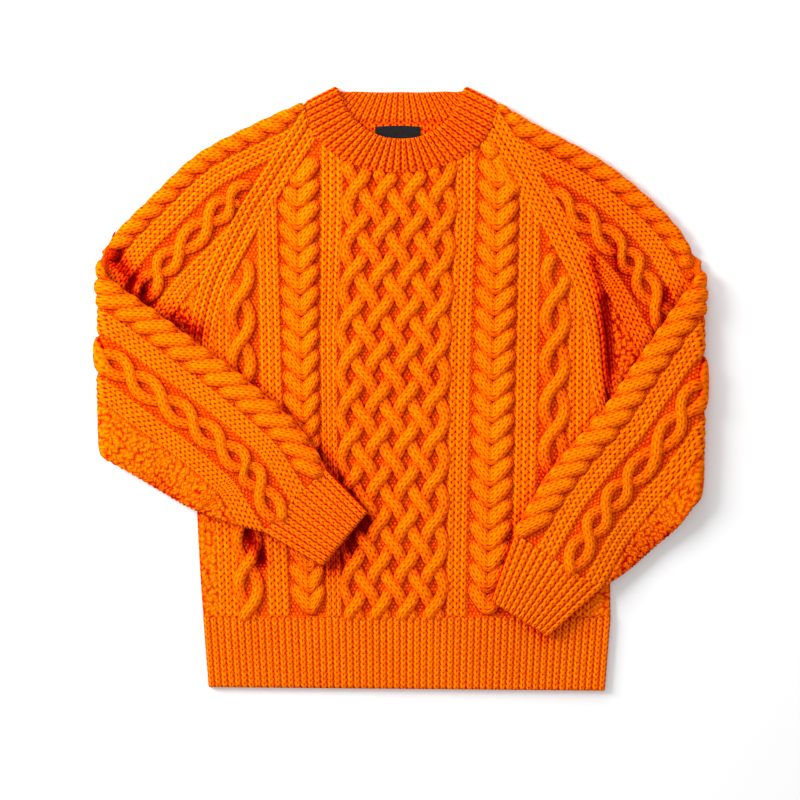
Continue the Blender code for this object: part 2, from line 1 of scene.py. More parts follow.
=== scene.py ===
"""Looks of the cable-knit fisherman sweater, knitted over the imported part.

Each piece of the part is knitted again as a fine surface in its place: flat cloth with rib,
moss and raglan columns, and on it the cables, whose strands pass over and under each other.
A pattern is written in its own places (across, along, height) and a chart lays it on the
cloth. Sizes are in millimetres and become metres when a mesh is made.
"""

import logging
import math
from dataclasses import dataclass, field
from enum import Enum
from typing import Callable, Protocol, Sequence

import bmesh
import bpy
import numpy as np
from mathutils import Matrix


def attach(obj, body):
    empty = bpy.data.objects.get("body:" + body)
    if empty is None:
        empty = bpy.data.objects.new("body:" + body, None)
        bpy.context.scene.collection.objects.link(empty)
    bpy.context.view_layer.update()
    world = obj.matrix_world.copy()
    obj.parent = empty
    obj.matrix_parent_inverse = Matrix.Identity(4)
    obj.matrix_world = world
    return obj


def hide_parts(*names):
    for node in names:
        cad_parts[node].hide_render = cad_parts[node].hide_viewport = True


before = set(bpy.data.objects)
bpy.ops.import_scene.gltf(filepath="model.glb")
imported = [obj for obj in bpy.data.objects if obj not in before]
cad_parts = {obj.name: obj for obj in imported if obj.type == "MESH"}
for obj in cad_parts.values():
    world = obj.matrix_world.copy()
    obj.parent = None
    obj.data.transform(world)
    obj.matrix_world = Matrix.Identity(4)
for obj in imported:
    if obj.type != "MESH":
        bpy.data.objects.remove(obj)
log = logging.getLogger("sweater")
Array = np.ndarray

MM = 0.001
BODY = "root"

# Levels of the cloth, as in the part
BACK_PLY = 4.0
SEAM_GAP = 0.3
FRONT_INSIDE = BACK_PLY + SEAM_GAP
FRONT_FACE = FRONT_INSIDE + 3.0
FOREARM_FACE = 1.0

# Gauge of the knitting
STITCH = 7.7
ROW = 7.4
RIB_ROW = 6.0
PURL_STITCH = 4.3
PURL_ROW = 7.6
MOSS_STITCH = 7.6
MOSS_ROW = 10.6
RAGLAN_STITCH = 7.3
RAGLAN_BAND = 2 * RAGLAN_STITCH

# Distance between the points of a pattern's line, and the rise of hidden rims, which paints them a darker
# shade
LINE_STEP = 1.5
RIM_RISE = 0.3

# A length that no place on the sweater reaches
FAR = 1e3


class Side(Enum):
    """The side of the photo that a sleeve lies on."""

    LEFT = -1
    RIGHT = 1


class Stitch(Enum):
    """How the yarn shows in a stretch of cloth."""

    KNIT = 0.0
    PURL = 1.0
    MOSS = 2.0


# Curves and surfaces

def spline(rows: Sequence, at: Array) -> Array:
    """Catmull-Rom curve through table rows, read at row numbers.

    Args:
        rows: the table, one point or row of values for each place.
        at: row numbers, whole or between rows.

    Returns:
        The row's values at each number: a cubic whose slope at a row is half the step
        from the row before it to the row after it.
    """
    table = np.asarray(rows, float)
    last = len(table) - 1
    at = np.clip(np.asarray(at, float), 0, last)
    row = np.minimum(at.astype(int), last - 1)
    part = (at - row)[:, None]
    before = table[np.maximum(row - 1, 0)]
    here = table[row]
    after = table[row + 1]
    beyond = table[np.minimum(row + 2, last)]
    first = (after - before) * part
    second = (2 * before - 5 * here + 4 * after - beyond) * part ** 2
    third = (3 * here - before - 3 * after + beyond) * part ** 3
    return 0.5 * (2 * here + first + second + third)


def dense(rows: Sequence, per_row: int = 24) -> Array:
    """The spline through table rows as many points, the same number for each row."""
    return spline(rows, np.linspace(0, len(rows) - 1, (len(rows) - 1) * per_row + 1))


def travelled(points: Array) -> Array:
    """Distance along a line of points, from its first point."""
    steps = np.linalg.norm(np.diff(points, axis=0), axis=1)
    return np.concatenate([[0.0], np.cumsum(steps)])


def even_rows(rows: Sequence, step: float, width: int = 2) -> Array:
    """Row numbers of a table about one step apart along its curve.

    Args:
        rows: the table; its first columns are the place.
        step: wanted distance between neighbours.
        width: how many columns make the place.

    Returns:
        Row numbers, evenly spaced along the curve's length.
    """
    numbers = np.linspace(0, len(rows) - 1, (len(rows) - 1) * 40 + 1)
    length = travelled(spline(rows, numbers)[:, :width])
    count = max(int(round(length[-1] / step)), 2)
    return np.interp(np.linspace(0, length[-1], count + 1), length, numbers)


def unit(vectors: Array) -> Array:
    """The same directions with length one."""
    return vectors / np.maximum(np.linalg.norm(vectors, axis=-1, keepdims=True), 1e-9)


def soft(value: Array, low: float, high: float) -> Array:
    """A smooth step from 0 at low to 1 at high: 3t squared less 2t cubed."""
    part = np.clip((value - low) / (high - low), 0.0, 1.0)
    return part * part * (3 - 2 * part)


class Spine:
    """A plan line that a pattern follows: places beside it, and places read back from it."""

    def __init__(self, curve: Array, before: float = 0.0, after: float = 0.0, ease: float = 0.0):
        """Lays the line.

        Args:
            curve: points of the line in plan.
            before: length of a straight run added ahead of the first point.
            after: length of a straight run added past the last point.
            ease: length over which bends are evened out.
        """
        ends = [curve]
        if before:
            ends.insert(0, curve[:1] - unit(curve[4:5] - curve[:1]) * before)
        if after:
            ends.append(curve[-1:] + unit(curve[-1:] - curve[-5:-4]) * after)
        line = np.concatenate(ends)
        length = travelled(line)
        arc = np.arange(0.0, length[-1], LINE_STEP)
        points = np.stack([np.interp(arc, length, line[:, k]) for k in (0, 1)], axis=1)
        if ease:
            reach = int(ease / LINE_STEP)
            kernel = np.hanning(2 * reach + 1)
            kernel /= kernel.sum()
            first = 2 * points[:1] - points[reach:0:-1]
            last = 2 * points[-1:] - points[-2:-reach - 2:-1]
            padded = np.concatenate([first, points, last])
            points = np.stack([np.convolve(padded[:, k], kernel, "valid") for k in (0, 1)], axis=1)
        self.points = points
        self.arc = travelled(points) - before
        self.tangent = unit(np.gradient(points, axis=0))
        self.normal = np.stack([self.tangent[:, 1], -self.tangent[:, 0]], axis=1)

    def place(self, off: Array, arc: Array) -> tuple[Array, Array]:
        """Plan places to the right of the line at an arc length, straight on past its end."""
        found = []
        for k in (0, 1):
            base = np.interp(arc, self.arc, self.points[:, k])
            found.append(base + off * np.interp(arc, self.arc, self.normal[:, k]))
        over = np.maximum(arc - self.arc[-1], 0.0)
        return found[0] + over * self.tangent[-1, 0], found[1] + over * self.tangent[-1, 1]

    def read(self, x: Array, y: Array) -> tuple[Array, Array]:
        """Distance to the right of the line and arc length along it, for plan places.

        Args:
            x: places across, of any shape.
            y: places up, of the same shape.

        Returns:
            Off and arc: the nearest point of the line, and the place measured from it
            along the line's own tangent and normal.
        """
        flat = np.stack([np.ravel(x), np.ravel(y)], axis=1)
        off = np.empty(len(flat))
        arc = np.empty(len(flat))
        for first in range(0, len(flat), 4000):
            part = flat[first:first + 4000]
            away = part[:, None, :] - self.points[None, ::2, :]
            near = 2 * np.argmin((away ** 2).sum(axis=2), axis=1)
            rest = part - self.points[near]
            off[first:first + 4000] = (rest * self.normal[near]).sum(axis=1)
            arc[first:first + 4000] = self.arc[near] + (rest * self.tangent[near]).sum(axis=1)
        return off.reshape(np.shape(x)), arc.reshape(np.shape(x))


class Chart(Protocol):
    """Lays pattern places on cloth."""

    def place(self, across: Array, along: Array, height: Array) -> Array:
        """World points, in millimetres, for pattern places and heights over the cloth."""


def corners(values: Array) -> Array:
    """The four corners of each quad of a grid, from the grid's values."""
    return np.stack([values[:-1, :-1], values[:-1, 1:], values[1:, 1:], values[1:, :-1]], axis=2)


@dataclass
class Knit:
    """One piece while it is knitted: points, faces, stitch places and the rise that paints shade into the
    colour from the relief, patch by patch.
    """

    points: list = field(default_factory=list)
    rise: list = field(default_factory=list)
    quads: list = field(default_factory=list)
    places: list = field(default_factory=list)
    purl: list = field(default_factory=list)
    caps: list = field(default_factory=list)
    count: int = 0

    def grid(self, points: Array, places: Array, rise: Array, purl: Array | float = 0.0,
             wrap: bool = False) -> Array:
        """Adds a patch that is a grid of points.

        Args:
            points: the grid, rows by columns by three.
            places: stitch places, for each point, or for each corner of each quad.
            rise: 0 in the valleys to 1 on the ridges, for each point; it paints shade into the
            colour, darker in the valleys. The painted shade of the folds is taken off it here.
            purl: the value of Stitch, for each quad.
            wrap: True if the last column joins the first one.

        Returns:
            The point numbers of the grid.
        """
        rows, columns = points.shape[:2]
        ids = self.count + np.arange(rows * columns).reshape(rows, columns)
        if wrap:
            ids = np.concatenate([ids, ids[:, :1]], axis=1)
        quads = corners(ids).reshape(-1, 4)
        if places.ndim == 3:
            places = corners(places)
        shown = np.broadcast_to(np.asarray(purl, float), corners(ids).shape[:2])
        self.points.append(points.reshape(-1, 3))
        self.rise.append((rise - shade_of_folds(points)).reshape(-1))
        self.quads.append(quads)
        self.places.append(places.reshape(-1, 4, 2))
        self.purl.append(shown.reshape(-1))
        self.count += rows * columns
        return ids

    def wall(self, border: Array, low: Array) -> None:
        """Adds a rim from a border of points to points under or inside it, and closes it.

        Args:
            border: point numbers round the edge.
            low: the point that each one runs to. One face closes this ring.
        """
        ids = self.count + np.arange(len(low))
        self.points.append(low)
        # Painted shade: the rim's points take the low rise of hidden rims, so their colour is darker.
        self.rise.append(np.full(len(low), RIM_RISE))
        self.count += len(low)
        after = np.roll(np.arange(len(low)), -1)
        self.quads.append(np.stack([border, ids, ids[after], border[after]], axis=1))
        self.places.append(np.zeros((len(low), 4, 2)))
        self.purl.append(np.zeros(len(low)))
        self.caps.append(ids[::-1].tolist())

    def strand(self, chart: Chart, line: Array, top: Array, half: float | Array, stitches: float,
               foot: float = -2.6, lean: float = 0.0, taper: float = 7.0) -> None:
        """Adds a raised run of stitches that follows a line in the pattern.

        The section is a full half ellipse: at angle a its place across is minus half times
        the cosine of a, and its height climbs from the foot to the top with the sine of a
        to the power 0.65. Width and height shrink with the root of the distance to an end.

        Args:
            chart: lays the strand on its cloth.
            line: middle line in pattern places.
            top: height of its crest over the cloth at each point of the line.
            half: half width, all along or at each point.
            stitches: how many knit stitches lie side by side on it.
            foot: height at which it meets the cloth.
            lean: how much higher its right side is, for each millimetre across.
            taper: length over which an end closes.
        """
        arc = travelled(line)
        ahead = unit(np.gradient(line, axis=0))
        aside = np.stack([ahead[:, 1], -ahead[:, 0]], axis=1)
        close = np.clip(np.minimum(arc, arc[-1] - arc) / taper, 0.03, 1.0) ** 0.5
        angle = np.linspace(0.0, math.pi, 11)
        across = -np.cos(angle)[None, :] * (half * close)[:, None]
        bulge = np.sin(angle)[None, :] ** 0.65
        height = foot + (top - foot)[:, None] * bulge * close[:, None] + lean * across * bulge
        x = line[:, 0:1] + aside[:, 0:1] * across
        y = line[:, 1:2] + aside[:, 1:2] * across
        points = chart.place(x, y, height)
        u = np.broadcast_to((1 - np.cos(angle)) / 2 * stitches, x.shape)
        v = np.broadcast_to((arc / ROW)[:, None], x.shape)
        # Painted shade: the colour darkens towards the strand's sides, where it lies low under a neighbour,
        # and towards its ends.
        tuck_shade = np.clip((top - foot) / 7.5, 0.3, 1.0)[:, None]
        rise = -0.05 + 0.97 * bulge**1.5 * tuck_shade * (0.4 + 0.6 * close[:, None])
        wrapped = np.concatenate([np.stack([u, v], axis=2), np.stack([u, v], axis=2)[:, :1]], axis=1)
        ids = self.grid(points, wrapped, rise, wrap=True)
        self.caps.append(ids[0, :-1].tolist())
        self.caps.append(ids[-1, :-1][::-1].tolist())

    def make(self, name: str, material: bpy.types.Material, nodes: Sequence[str] = ()) -> bpy.types.Object:
        """Makes the piece, with its faces outwards, riding on the body.

        Args:
            name: name of the object.
            material: its finish.
            nodes: nodes of the part that it stands for.

        Returns:
            The finished object.
        """
        points = np.concatenate(self.points) * MM
        quads = np.concatenate(self.quads)
        mesh = bpy.data.meshes.new(name)
        mesh.from_pydata(points.tolist(), [], quads.tolist() + self.caps)
        stitch = np.zeros((len(mesh.loops), 2), np.float32)
        stitch[:4 * len(quads)] = np.concatenate(self.places).reshape(-1, 2)
        mesh.uv_layers.new(name="stitch").data.foreach_set("uv", stitch.ravel())
        # The rise attribute carries the painted shade of the relief to the finish.
        rise = mesh.attributes.new("rise", "FLOAT", "POINT")
        rise.data.foreach_set("value", np.concatenate(self.rise).astype(np.float32))
        purl = mesh.attributes.new("purl", "FLOAT", "FACE")
        shown = np.zeros(len(mesh.polygons), np.float32)
        shown[:len(quads)] = np.concatenate(self.purl)
        purl.data.foreach_set("value", shown)
        shape = bmesh.new()
        shape.from_mesh(mesh)
        bmesh.ops.recalc_face_normals(shape, faces=shape.faces)
        shape.to_mesh(mesh)
        shape.free()
        mesh.polygons.foreach_set("use_smooth", np.ones(len(mesh.polygons), bool))
        mesh.materials.append(material)
        piece = bpy.data.objects.new(name, mesh)
        bpy.context.scene.collection.objects.link(piece)
        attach(piece, BODY)
        if nodes:
            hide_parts(*nodes)
        log.info("%s: %d faces", name, len(mesh.polygons))
        return piece


def border_of(ids: Array) -> Array:
    """Point numbers round the edge of a grid, in order."""
    return np.concatenate([ids[0, :-1], ids[:-1, -1], ids[-1, :0:-1], ids[:0:-1, 0]])


def runs(inside: Array) -> list[slice]:
    """The stretches where a row of truths holds, as slices of more than three items."""
    marks = np.flatnonzero(np.diff(np.concatenate([[0], inside.astype(int), [0]])))
    return [slice(a, b) for a, b in zip(marks[::2], marks[1::2]) if b - a > 3]


# Finishes

class Wires:
    """Builds a node tree from sockets, one operation at a time."""

    def __init__(self, tree: bpy.types.NodeTree):
        """Starts on a node tree."""
        self.tree = tree

    def node(self, kind: str, **values) -> bpy.types.Node:
        """Adds a node and sets its properties."""
        made = self.tree.nodes.new(kind)
        for name, value in values.items():
            setattr(made, name, value)
        return made

    def join(self, value, socket: bpy.types.NodeSocket) -> None:
        """Links a socket, or sets a number, on an input."""
        if isinstance(value, bpy.types.NodeSocket):
            self.tree.links.new(value, socket)
        else:
            socket.default_value = value

    def math(self, operation: str, *values, clamp: bool = False) -> bpy.types.NodeSocket:
        """One Math node."""
        made = self.node("ShaderNodeMath", operation=operation, use_clamp=clamp)
        for value, socket in zip(values, made.inputs):
            self.join(value, socket)
        return made.outputs[0]

    def blend(self, share, one, two) -> bpy.types.NodeSocket:
        """One Mix node of two numbers."""
        made = self.node("ShaderNodeMix", data_type="FLOAT")
        for value, socket in zip((share, one, two), made.inputs[0:1] + made.inputs[2:4]):
            self.join(value, socket)
        return made.outputs[0]

    def step(self, value, low: float, high: float) -> bpy.types.NodeSocket:
        """A smooth step from 0 at low to 1 at high."""
        made = self.node("ShaderNodeMapRange", interpolation_type="SMOOTHSTEP")
        self.join(value, made.inputs["Value"])
        made.inputs["From Min"].default_value = low
        made.inputs["From Max"].default_value = high
        return made.outputs[0]


def new_group(name: str, inputs: dict[str, str], outputs: dict[str, str]) -> Wires:
    """A shader node group with named sockets.

    Args:
        name: name of the group.
        inputs: socket types by input name.
        outputs: socket types by output name.

    Returns:
        Wires on the group's tree, which has its input and output nodes.
    """
    group = bpy.data.node_groups.new(name, "ShaderNodeTree")
    for label, kind in inputs.items():
        group.interface.new_socket(label, in_out="INPUT", socket_type=kind)
    for label, kind in outputs.items():
        group.interface.new_socket(label, in_out="OUTPUT", socket_type=kind)
    wires = Wires(group)
    wires.node("NodeGroupInput", name="in")
    wires.node("NodeGroupOutput", name="out")
    return wires


def stitch_group() -> bpy.types.NodeTree:
    """Relief of knit and purl stitches from the piece's stitch places.

    A knit column is one unit wide. With x the distance from its middle, from 0 to 1 at its
    edge, a leg of the V is a band of constant v less 0.62 x with a thin border. Where the
    border meets the middle or the edge of the column, it opens into a hole. Purl is seven
    parts beads, the product of the cosines of both places, to three parts ridges. Moss is a
    scatter of knobs, which fall with the distance to the nearest of jittered centres. Purl
    is the value of Stitch, Middle is how open a V's middle is, and Groove is how much of
    the gap between columns runs on as a line.

    Returns:
        The node group: Yarn is 0 in the gaps to 1 on the yarn, for the bump and for the painted shade in the
            gaps; Depth scales the relief.
    """
    sockets = {"Place": "NodeSocketVector", "Purl": "NodeSocketFloat", "Middle": "NodeSocketFloat",
               "Groove": "NodeSocketFloat"}
    wires = new_group("stitches", sockets, {"Yarn": "NodeSocketFloat", "Depth": "NodeSocketFloat"})
    start = wires.tree.nodes["in"]
    split = wires.node("ShaderNodeSeparateXYZ")
    wires.join(start.outputs["Place"], split.inputs[0])
    u, v = split.outputs[0], split.outputs[1]
    middle = wires.math("SUBTRACT", wires.math("FRACT", u), 0.5)
    x = wires.math("MULTIPLY", wires.math("ABSOLUTE", middle), 2.0)
    lean = wires.math("MULTIPLY_ADD", x, -0.62, v)
    phase = wires.math("FRACT", lean)
    rim = wires.math("ABSOLUTE", wires.math("MULTIPLY_ADD", phase, 2.0, -1.0))
    inner = wires.math("MULTIPLY", wires.step(x, 0.42, 0.0), start.outputs["Middle"])
    ends = wires.math("MAXIMUM", inner, wires.step(x, 0.62, 1.0))
    hole = wires.math("MULTIPLY", wires.step(rim, 0.30, 1.0), ends)
    border = wires.math("MULTIPLY", wires.step(rim, 0.55, 1.0), 0.36)
    groove = start.outputs["Groove"]
    fold = wires.math("MULTIPLY", ends, groove)
    deep = wires.math("MULTIPLY", hole, wires.math("SUBTRACT", 0.98, groove))
    lost = wires.math("ADD", wires.math("ADD", deep, border), fold)
    yarn = wires.math("SUBTRACT", 1.0, lost, clamp=True)
    turn_u = wires.math("COSINE", wires.math("MULTIPLY", u, 2 * math.pi))
    turn_v = wires.math("COSINE", wires.math("MULTIPLY", v, 2 * math.pi))
    bead = wires.math("MULTIPLY", turn_u, turn_v)
    ridge = wires.math("COSINE", wires.math("MULTIPLY", v, 4 * math.pi))
    ridged = wires.blend(0.3, bead, ridge)
    more = wires.math("MAXIMUM", wires.math("SUBTRACT", start.outputs["Purl"], 1.0), 0.0)
    cell = wires.node("ShaderNodeCombineXYZ")
    wires.join(wires.math("MULTIPLY", u, 1.36), cell.inputs[0])
    wires.join(wires.math("MULTIPLY", v, 2.04), cell.inputs[1])
    beads = wires.node("ShaderNodeTexVoronoi", voronoi_dimensions="2D")
    beads.inputs["Scale"].default_value = 1.0
    beads.inputs["Randomness"].default_value = 0.7
    wires.join(cell.outputs[0], beads.inputs["Vector"])
    knob = wires.math("MULTIPLY_ADD", beads.outputs["Distance"], -3.6, 1.8)
    knob = wires.math("MAXIMUM", wires.math("MINIMUM", knob, 1.0), -1.7)
    bump = wires.math("MULTIPLY_ADD", wires.blend(more, ridged, knob), 0.42, 0.60)
    shown = wires.math("MINIMUM", start.outputs["Purl"], 1.0)
    wires.join(wires.blend(shown, yarn, bump), wires.tree.nodes["out"].inputs["Yarn"])
    wires.join(wires.math("MULTIPLY_ADD", more, 0.9, 1.0), wires.tree.nodes["out"].inputs["Depth"])
    return wires.tree


def fibre_group() -> bpy.types.NodeTree:
    """Fuzz and flecks of heathered wool from Object coordinates.

    Two noises in metres: fine fibres under a millimetre, and flecks of two to three
    millimetres. A third, wide noise gives the slow change of shade over the cloth.

    Returns:
        The node group, with fuzz, fleck and shade from 0 to 1.
    """
    wires = new_group("fibres", {"Place": "NodeSocketVector", "Scale": "NodeSocketFloat"},
                      {"Fuzz": "NodeSocketFloat", "Fleck": "NodeSocketFloat", "Shade": "NodeSocketFloat"})
    start = wires.tree.nodes["in"]
    for label, scale, detail in (("Fuzz", 1.0, 3.0), ("Fleck", 0.36, 2.0), ("Shade", 0.012, 2.0)):
        noise = wires.node("ShaderNodeTexNoise")
        noise.inputs["Detail"].default_value = detail
        wires.join(start.outputs["Place"], noise.inputs["Vector"])
        wires.join(wires.math("MULTIPLY", start.outputs["Scale"], scale), noise.inputs["Scale"])
        wires.join(noise.outputs[0], wires.tree.nodes["out"].inputs[label])
    return wires.tree


@dataclass(frozen=True)
class Wool:
    """Heathered wool: its colours from painted shade in the gaps to painted light on the crests, and how far
    its stitches show.
    """

    name: str
    # Tone ramp: painted shade at gap, deep and shaded, the wool's own orange at body, painted light at
    # crest.
    gap: tuple = (0.36, 0.0004, 0.0, 1.0)
    deep: tuple = (0.62, 0.010, 0.0, 1.0)
    shaded: tuple = (0.64, 0.044, 0.0, 1.0)
    body: tuple = (0.86, 0.125, 0.0, 1.0)
    crest: tuple = (0.93, 0.25, 0.0, 1.0)
    contrast: float = 0.82
    middle: float = 1.0
    groove: float = 0.26
    depth: float = 0.85
    roughness: float = 0.9

    def material(self) -> bpy.types.Material:
        """The finish as a material.

        The tone starts from the piece's own rise, the painted shade of the relief, loses the
        gaps between the yarn by the contrast as painted shade in the stitch holes, and shifts
        with the flecks. Colour runs from painted shade at the gap to painted light at the crest
        with the tone, and is dimmed to a third, as painted shade, where the rise falls to the
        bottom of a deep fold. The bump is the yarn's height with a little fuzz.

        Returns:
            The material.
        """
        made = bpy.data.materials.new(self.name)
        made.use_nodes = True
        wires = Wires(made.node_tree)
        shader = made.node_tree.nodes["Principled BSDF"]
        groups = bpy.data.node_groups
        places = wires.node("ShaderNodeUVMap", uv_map="stitch")
        stitches = wires.node("ShaderNodeGroup", node_tree=groups["stitches"])
        wires.join(places.outputs[0], stitches.inputs["Place"])
        purl = wires.node("ShaderNodeAttribute", attribute_name="purl")
        wires.join(purl.outputs["Fac"], stitches.inputs["Purl"])
        stitches.inputs["Middle"].default_value = self.middle
        stitches.inputs["Groove"].default_value = self.groove
        fibres = wires.node("ShaderNodeGroup", node_tree=groups["fibres"])
        coordinates = wires.node("ShaderNodeTexCoord")
        wires.join(coordinates.outputs["Object"], fibres.inputs["Place"])
        fibres.inputs["Scale"].default_value = 1100.0
        rise = wires.node("ShaderNodeAttribute", attribute_name="rise")
        yarn = stitches.outputs["Yarn"]
        # Painted shade and light of the relief: a low rise gives a dark tone, a high rise a light one.
        base = wires.math("MULTIPLY_ADD", rise.outputs["Fac"], 0.62, 0.26)
        # Painted shade in the stitch holes, borders and grooves between the yarn.
        gaps = wires.math("MULTIPLY", wires.math("SUBTRACT", 1.0, yarn), self.contrast)
        fleck = wires.math("MULTIPLY_ADD", fibres.outputs["Fleck"], 0.70, -0.35)
        shade = wires.math("MULTIPLY_ADD", fibres.outputs["Shade"], 0.2, -0.1)
        fuzz = wires.math("MULTIPLY_ADD", fibres.outputs["Fuzz"], 0.76, -0.38)
        lit = wires.math("ADD", wires.math("SUBTRACT", base, gaps), fuzz)
        tone = wires.math("ADD", wires.math("ADD", lit, fleck), shade, clamp=True)
        ramp = wires.node("ShaderNodeValToRGB")
        stops = ramp.color_ramp.elements
        stops[0].position, stops[0].color = 0.0, self.gap
        stops[1].position, stops[1].color = 1.0, self.crest
        for place, colour in ((0.14, self.deep), (0.27, self.shaded), (0.58, self.body)):
            stop = stops.new(place)
            stop.color = colour
        wires.join(tone, ramp.inputs[0])
        # Painted shade: the colour is dimmed to a third at the bottom of deep folds.
        hollow = wires.math("MULTIPLY_ADD", wires.step(rise.outputs["Fac"], -0.45, 0.4), 0.68, 0.32)
        dimmed = wires.node("ShaderNodeVectorMath", operation="SCALE")
        wires.join(ramp.outputs[0], dimmed.inputs[0])
        wires.join(hollow, dimmed.inputs["Scale"])
        wires.join(dimmed.outputs[0], shader.inputs["Base Color"])
        deep = wires.math("MULTIPLY", yarn, stitches.outputs["Depth"])
        height = wires.math("MULTIPLY_ADD", fibres.outputs["Fuzz"], 0.45, deep)
        bump = wires.node("ShaderNodeBump")
        bump.inputs["Distance"].default_value = self.depth * MM
        bump.inputs["Strength"].default_value = 1.0
        wires.join(height, bump.inputs["Height"])
        wires.join(bump.outputs[0], shader.inputs["Normal"])
        shader.inputs["Roughness"].default_value = self.roughness
        shader.inputs["Specular IOR Level"].default_value = 0.0
        return made


@dataclass(frozen=True)
class LabelWeave:
    """Black satin weave of the bare label."""

    name: str = "label_weave"
    colour: tuple = (0.0035, 0.0035, 0.004, 1.0)
    roughness: float = 0.55

    def material(self) -> bpy.types.Material:
        """The weave as a material: crossed fine waves on the stitch places, as a bump."""
        made = bpy.data.materials.new(self.name)
        made.use_nodes = True
        wires = Wires(made.node_tree)
        shader = made.node_tree.nodes["Principled BSDF"]
        places = wires.node("ShaderNodeUVMap", uv_map="stitch")
        split = wires.node("ShaderNodeSeparateXYZ")
        wires.join(places.outputs[0], split.inputs[0])
        waves = [wires.math("SINE", wires.math("MULTIPLY", split.outputs[k], math.pi)) for k in (0, 1)]
        weave = wires.math("MULTIPLY", waves[0], waves[1])
        shade = wires.node("ShaderNodeValToRGB")
        shade.color_ramp.elements[0].color = self.colour
        shade.color_ramp.elements[1].color = tuple(2.4 * c for c in self.colour[:3]) + (1.0,)
        wires.join(wires.math("MULTIPLY_ADD", weave, 0.5, 0.5), shade.inputs[0])
        wires.join(shade.outputs[0], shader.inputs["Base Color"])
        bump = wires.node("ShaderNodeBump")
        bump.inputs["Distance"].default_value = 0.2 * MM
        wires.join(weave, bump.inputs["Height"])
        wires.join(bump.outputs[0], shader.inputs["Normal"])
        shader.inputs["Roughness"].default_value = self.roughness
        shader.inputs["Specular IOR Level"].default_value = 0.15
        return made


@dataclass(frozen=True)
class Paper:
    """Plain pale floor."""

    name: str = "floor_paper"
    colour: tuple = (0.80, 0.80, 0.80, 1.0)
    roughness: float = 0.9

    def material(self) -> bpy.types.Material:
        """The floor as a plain material."""
        made = bpy.data.materials.new(self.name)
        made.use_nodes = True
        shader = made.node_tree.nodes["Principled BSDF"]
        shader.inputs["Base Color"].default_value = self.colour
        shader.inputs["Roughness"].default_value = self.roughness
        shader.inputs["Specular IOR Level"].default_value = 0.1
        return made


# The cut, shared by the pieces

